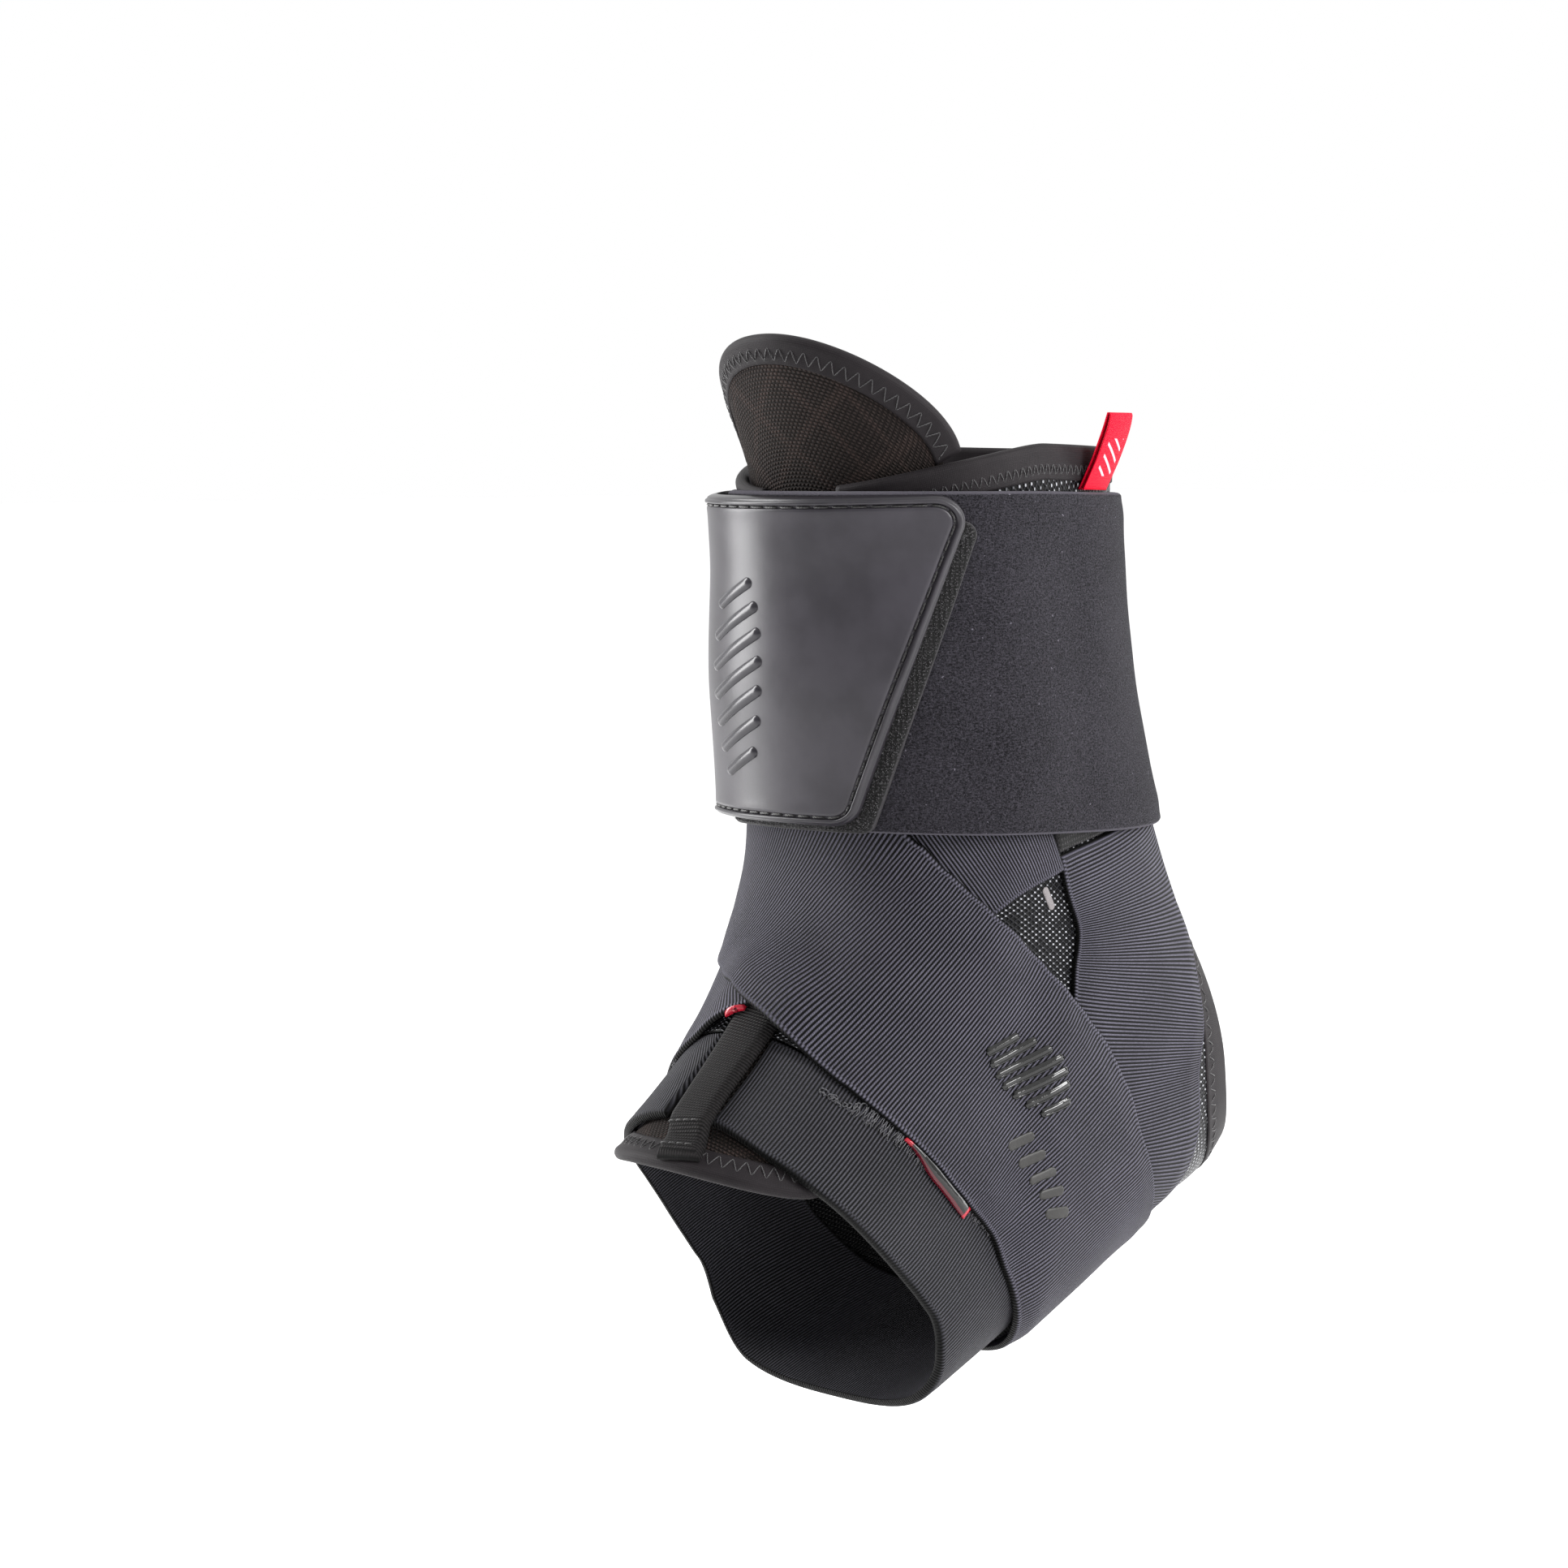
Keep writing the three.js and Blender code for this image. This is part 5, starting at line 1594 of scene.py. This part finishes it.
def tongue_tape_top(place):
    return np.full(place.shape[:-1], TONGUE_FULL + 0.02)


# Line, length left out at both ends, middle, half width, pitch and the surface below
ZIGZAGS = [
    [top_line, 3, -5.3, 1.5, 2.0, binding_top],
    [heel_line, 0, -8.0, 1.5, 3.0, binding_top],
    [tongue_top_line, 1, -4.2, 1.8, 3.3, tongue_tape_top],
    [tongue_toe_line, 1, 4.2, 1.8, 3.3, tongue_tape_top],
]
seams = [zigzag(line, trim, line.length - trim, *rest) for line, trim, *rest in ZIGZAGS]
tubes("binding_zigzags", seams, 0.11, grey_thread, slot="binding_tape")


def over_top(place):
    return over_in(place) + STRAP_THICKNESS


# Bars on the over strap, from the place where its middle passes PRINT_ANGLE. Columns: along, across,
# length, width, turn from the strap's direction.
PRINT_ANGLE = 74
BAR_TURN = 64
GLOSSY_SIZES = [(5.0, 9.0), (5.4, 13.0), (5.7, 15.5), (5.8, 17.0), (5.7, 15.5), (5.4, 13.0), (5.0, 9.0)]
GLOSSY_BARS = [[-10.5 + 3.3 * k, *size, 2.0, BAR_TURN] for k, size in enumerate(GLOSSY_SIZES)]
MATTE_BARS = [[8.0 + 5.0 * k, -6.0 - 0.5 * k, 7.0, 2.4, BAR_TURN] for k in range(5)]
MESH_BAR_SHARE = 0.45
print_run = float(np.interp(PRINT_ANGLE, over_line.places[:300, 1], over_line.runs[:300]))


def shifted(bars):
    return [[print_run + bar[0], *bar[1:]] for bar in bars]


mesh_line = Line(lambda share: places(4.1 + 0.8 * share, 77.0 + 2 * share), STRAP_HEIGHT)
mesh_bar = [mesh_line.length * MESH_BAR_SHARE, 0.0, 5.5, 1.8, 20]
# Name, line, bars, layer below, rise, material and slot
PRINTS = [
    ["strap_gloss_bars", over_line, shifted(GLOSSY_BARS), over_top, 0.45, black_gloss, "strap_elastic"],
    ["strap_matte_bars", over_line, shifted(MATTE_BARS), over_top, 0.2, grey_print, "strap_elastic"],
    ["mesh_bar", mesh_line, [mesh_bar], body_out, 0.15, pale_print, "mesh_cloth"],
]
for row in PRINTS:
    raised_print(*row)


# The stage: a pale floor under the raised heel, soft light and the photograph's camera
AZIMUTH = math.radians(50)
ELEVATION = math.radians(4.5)
DISTANCE = 1.0
FOCAL_PIXELS = 5600.0
FRAME_PIXELS = 1932.0
ORIGIN_PIXEL = (1170.0, 1140.0)
SENSOR = 36.0
FLOOR_DROP = -0.137
FLOOR_REACH = 12.0
# Name, metres to the right of the view, above it and towards the camera, width, height and watts
SOFTBOXES = [
    ["key", 0.95, 0.55, 0.6, 0.45, 0.6, 16],
    ["left_edge", -0.95, 0.42, -0.28, 0.42, 1.1, 17],
    ["right_edge", 1.0, 0.2, -0.35, 0.3, 1.2, 5],
]
DOME_SHADE = 0.7
DOME_TOP = 0.4

right = Vector((math.cos(AZIMUTH), math.sin(AZIMUTH), 0))
back = Vector((
    math.sin(AZIMUTH) * math.cos(ELEVATION),
    -math.cos(AZIMUTH) * math.cos(ELEVATION),
    math.sin(ELEVATION),
))
up = back.cross(right)


def camera():
    data = bpy.data.cameras.new("camera")
    data.lens = FOCAL_PIXELS / FRAME_PIXELS * SENSOR
    data.sensor_width = SENSOR
    holder = bpy.data.objects.new("camera", data)
    aside = (ORIGIN_PIXEL[0] - FRAME_PIXELS / 2) / FOCAL_PIXELS * DISTANCE
    below = (ORIGIN_PIXEL[1] - FRAME_PIXELS / 2) / FOCAL_PIXELS * DISTANCE
    holder.location = back * DISTANCE - right * aside + up * below
    holder.rotation_mode = "QUATERNION"
    holder.rotation_quaternion = Matrix((right, up, back)).transposed().to_quaternion()
    bpy.context.scene.collection.objects.link(holder)
    bpy.context.scene.camera = holder


def softbox(name, aside, above, ahead, width, height, power):
    data = bpy.data.lights.new(name, "AREA")
    data.shape = "RECTANGLE"
    data.size = width
    data.size_y = height
    data.energy = power
    light = bpy.data.objects.new(name, data)
    light.location = right * aside + up * above + back * ahead
    light.rotation_mode = "QUATERNION"
    light.rotation_quaternion = light.location.to_track_quat("Z", "Y")
    bpy.context.scene.collection.objects.link(light)


def floor():
    mesh = bpy.data.meshes.new("floor")
    corners = [(-1, -1), (1, -1), (1, 1), (-1, 1)]
    points = [(x * FLOOR_REACH, y * FLOOR_REACH, FLOOR_DROP) for x, y in corners]
    mesh.from_pydata(points, [], [(0, 1, 2, 3)])
    material = bpy.data.materials.new("floor_paint")
    material.use_nodes = True
    shader = material.node_tree.nodes["Principled BSDF"]
    shader.inputs["Base Color"].default_value = (0.995, 0.995, 0.995, 1)
    shader.inputs["Roughness"].default_value = 0.8
    mesh.materials.append(material)
    plane = bpy.data.objects.new("floor", mesh)
    bpy.context.scene.collection.objects.link(plane)


def world():
    """A white dome, brighter overhead and darker to the left of the camera."""
    sky = bpy.data.worlds.new("studio")
    sky.use_nodes = True
    n = Tree(sky.node_tree)
    direction = n.make("TexCoord").outputs["Generated"]

    def lobe(towards, low, high, strength):
        nearness = n.make("VectorMath", {0: direction, 1: towards}, operation="DOT_PRODUCT")
        return n.ramp(nearness.outputs["Value"], low, high, 0.0, strength)

    darker = lobe((back * 0.66 - right * 0.75).normalized(), 0.05, 0.9, -DOME_SHADE)
    brighter = lobe(Vector((0, 0, 1)), 0.35, 0.9, DOME_TOP)
    background = n.tree.nodes["Background"]
    n.feed(background.inputs["Strength"], n.math("ADD", n.math("ADD", darker, brighter), 1.0))
    background.inputs["Color"].default_value = (1, 1, 1, 1)
    bpy.context.scene.world = sky


camera()
floor()
world()
for row in SOFTBOXES:
    softbox(*row)
bpy.context.scene.view_settings.view_transform = "Standard"
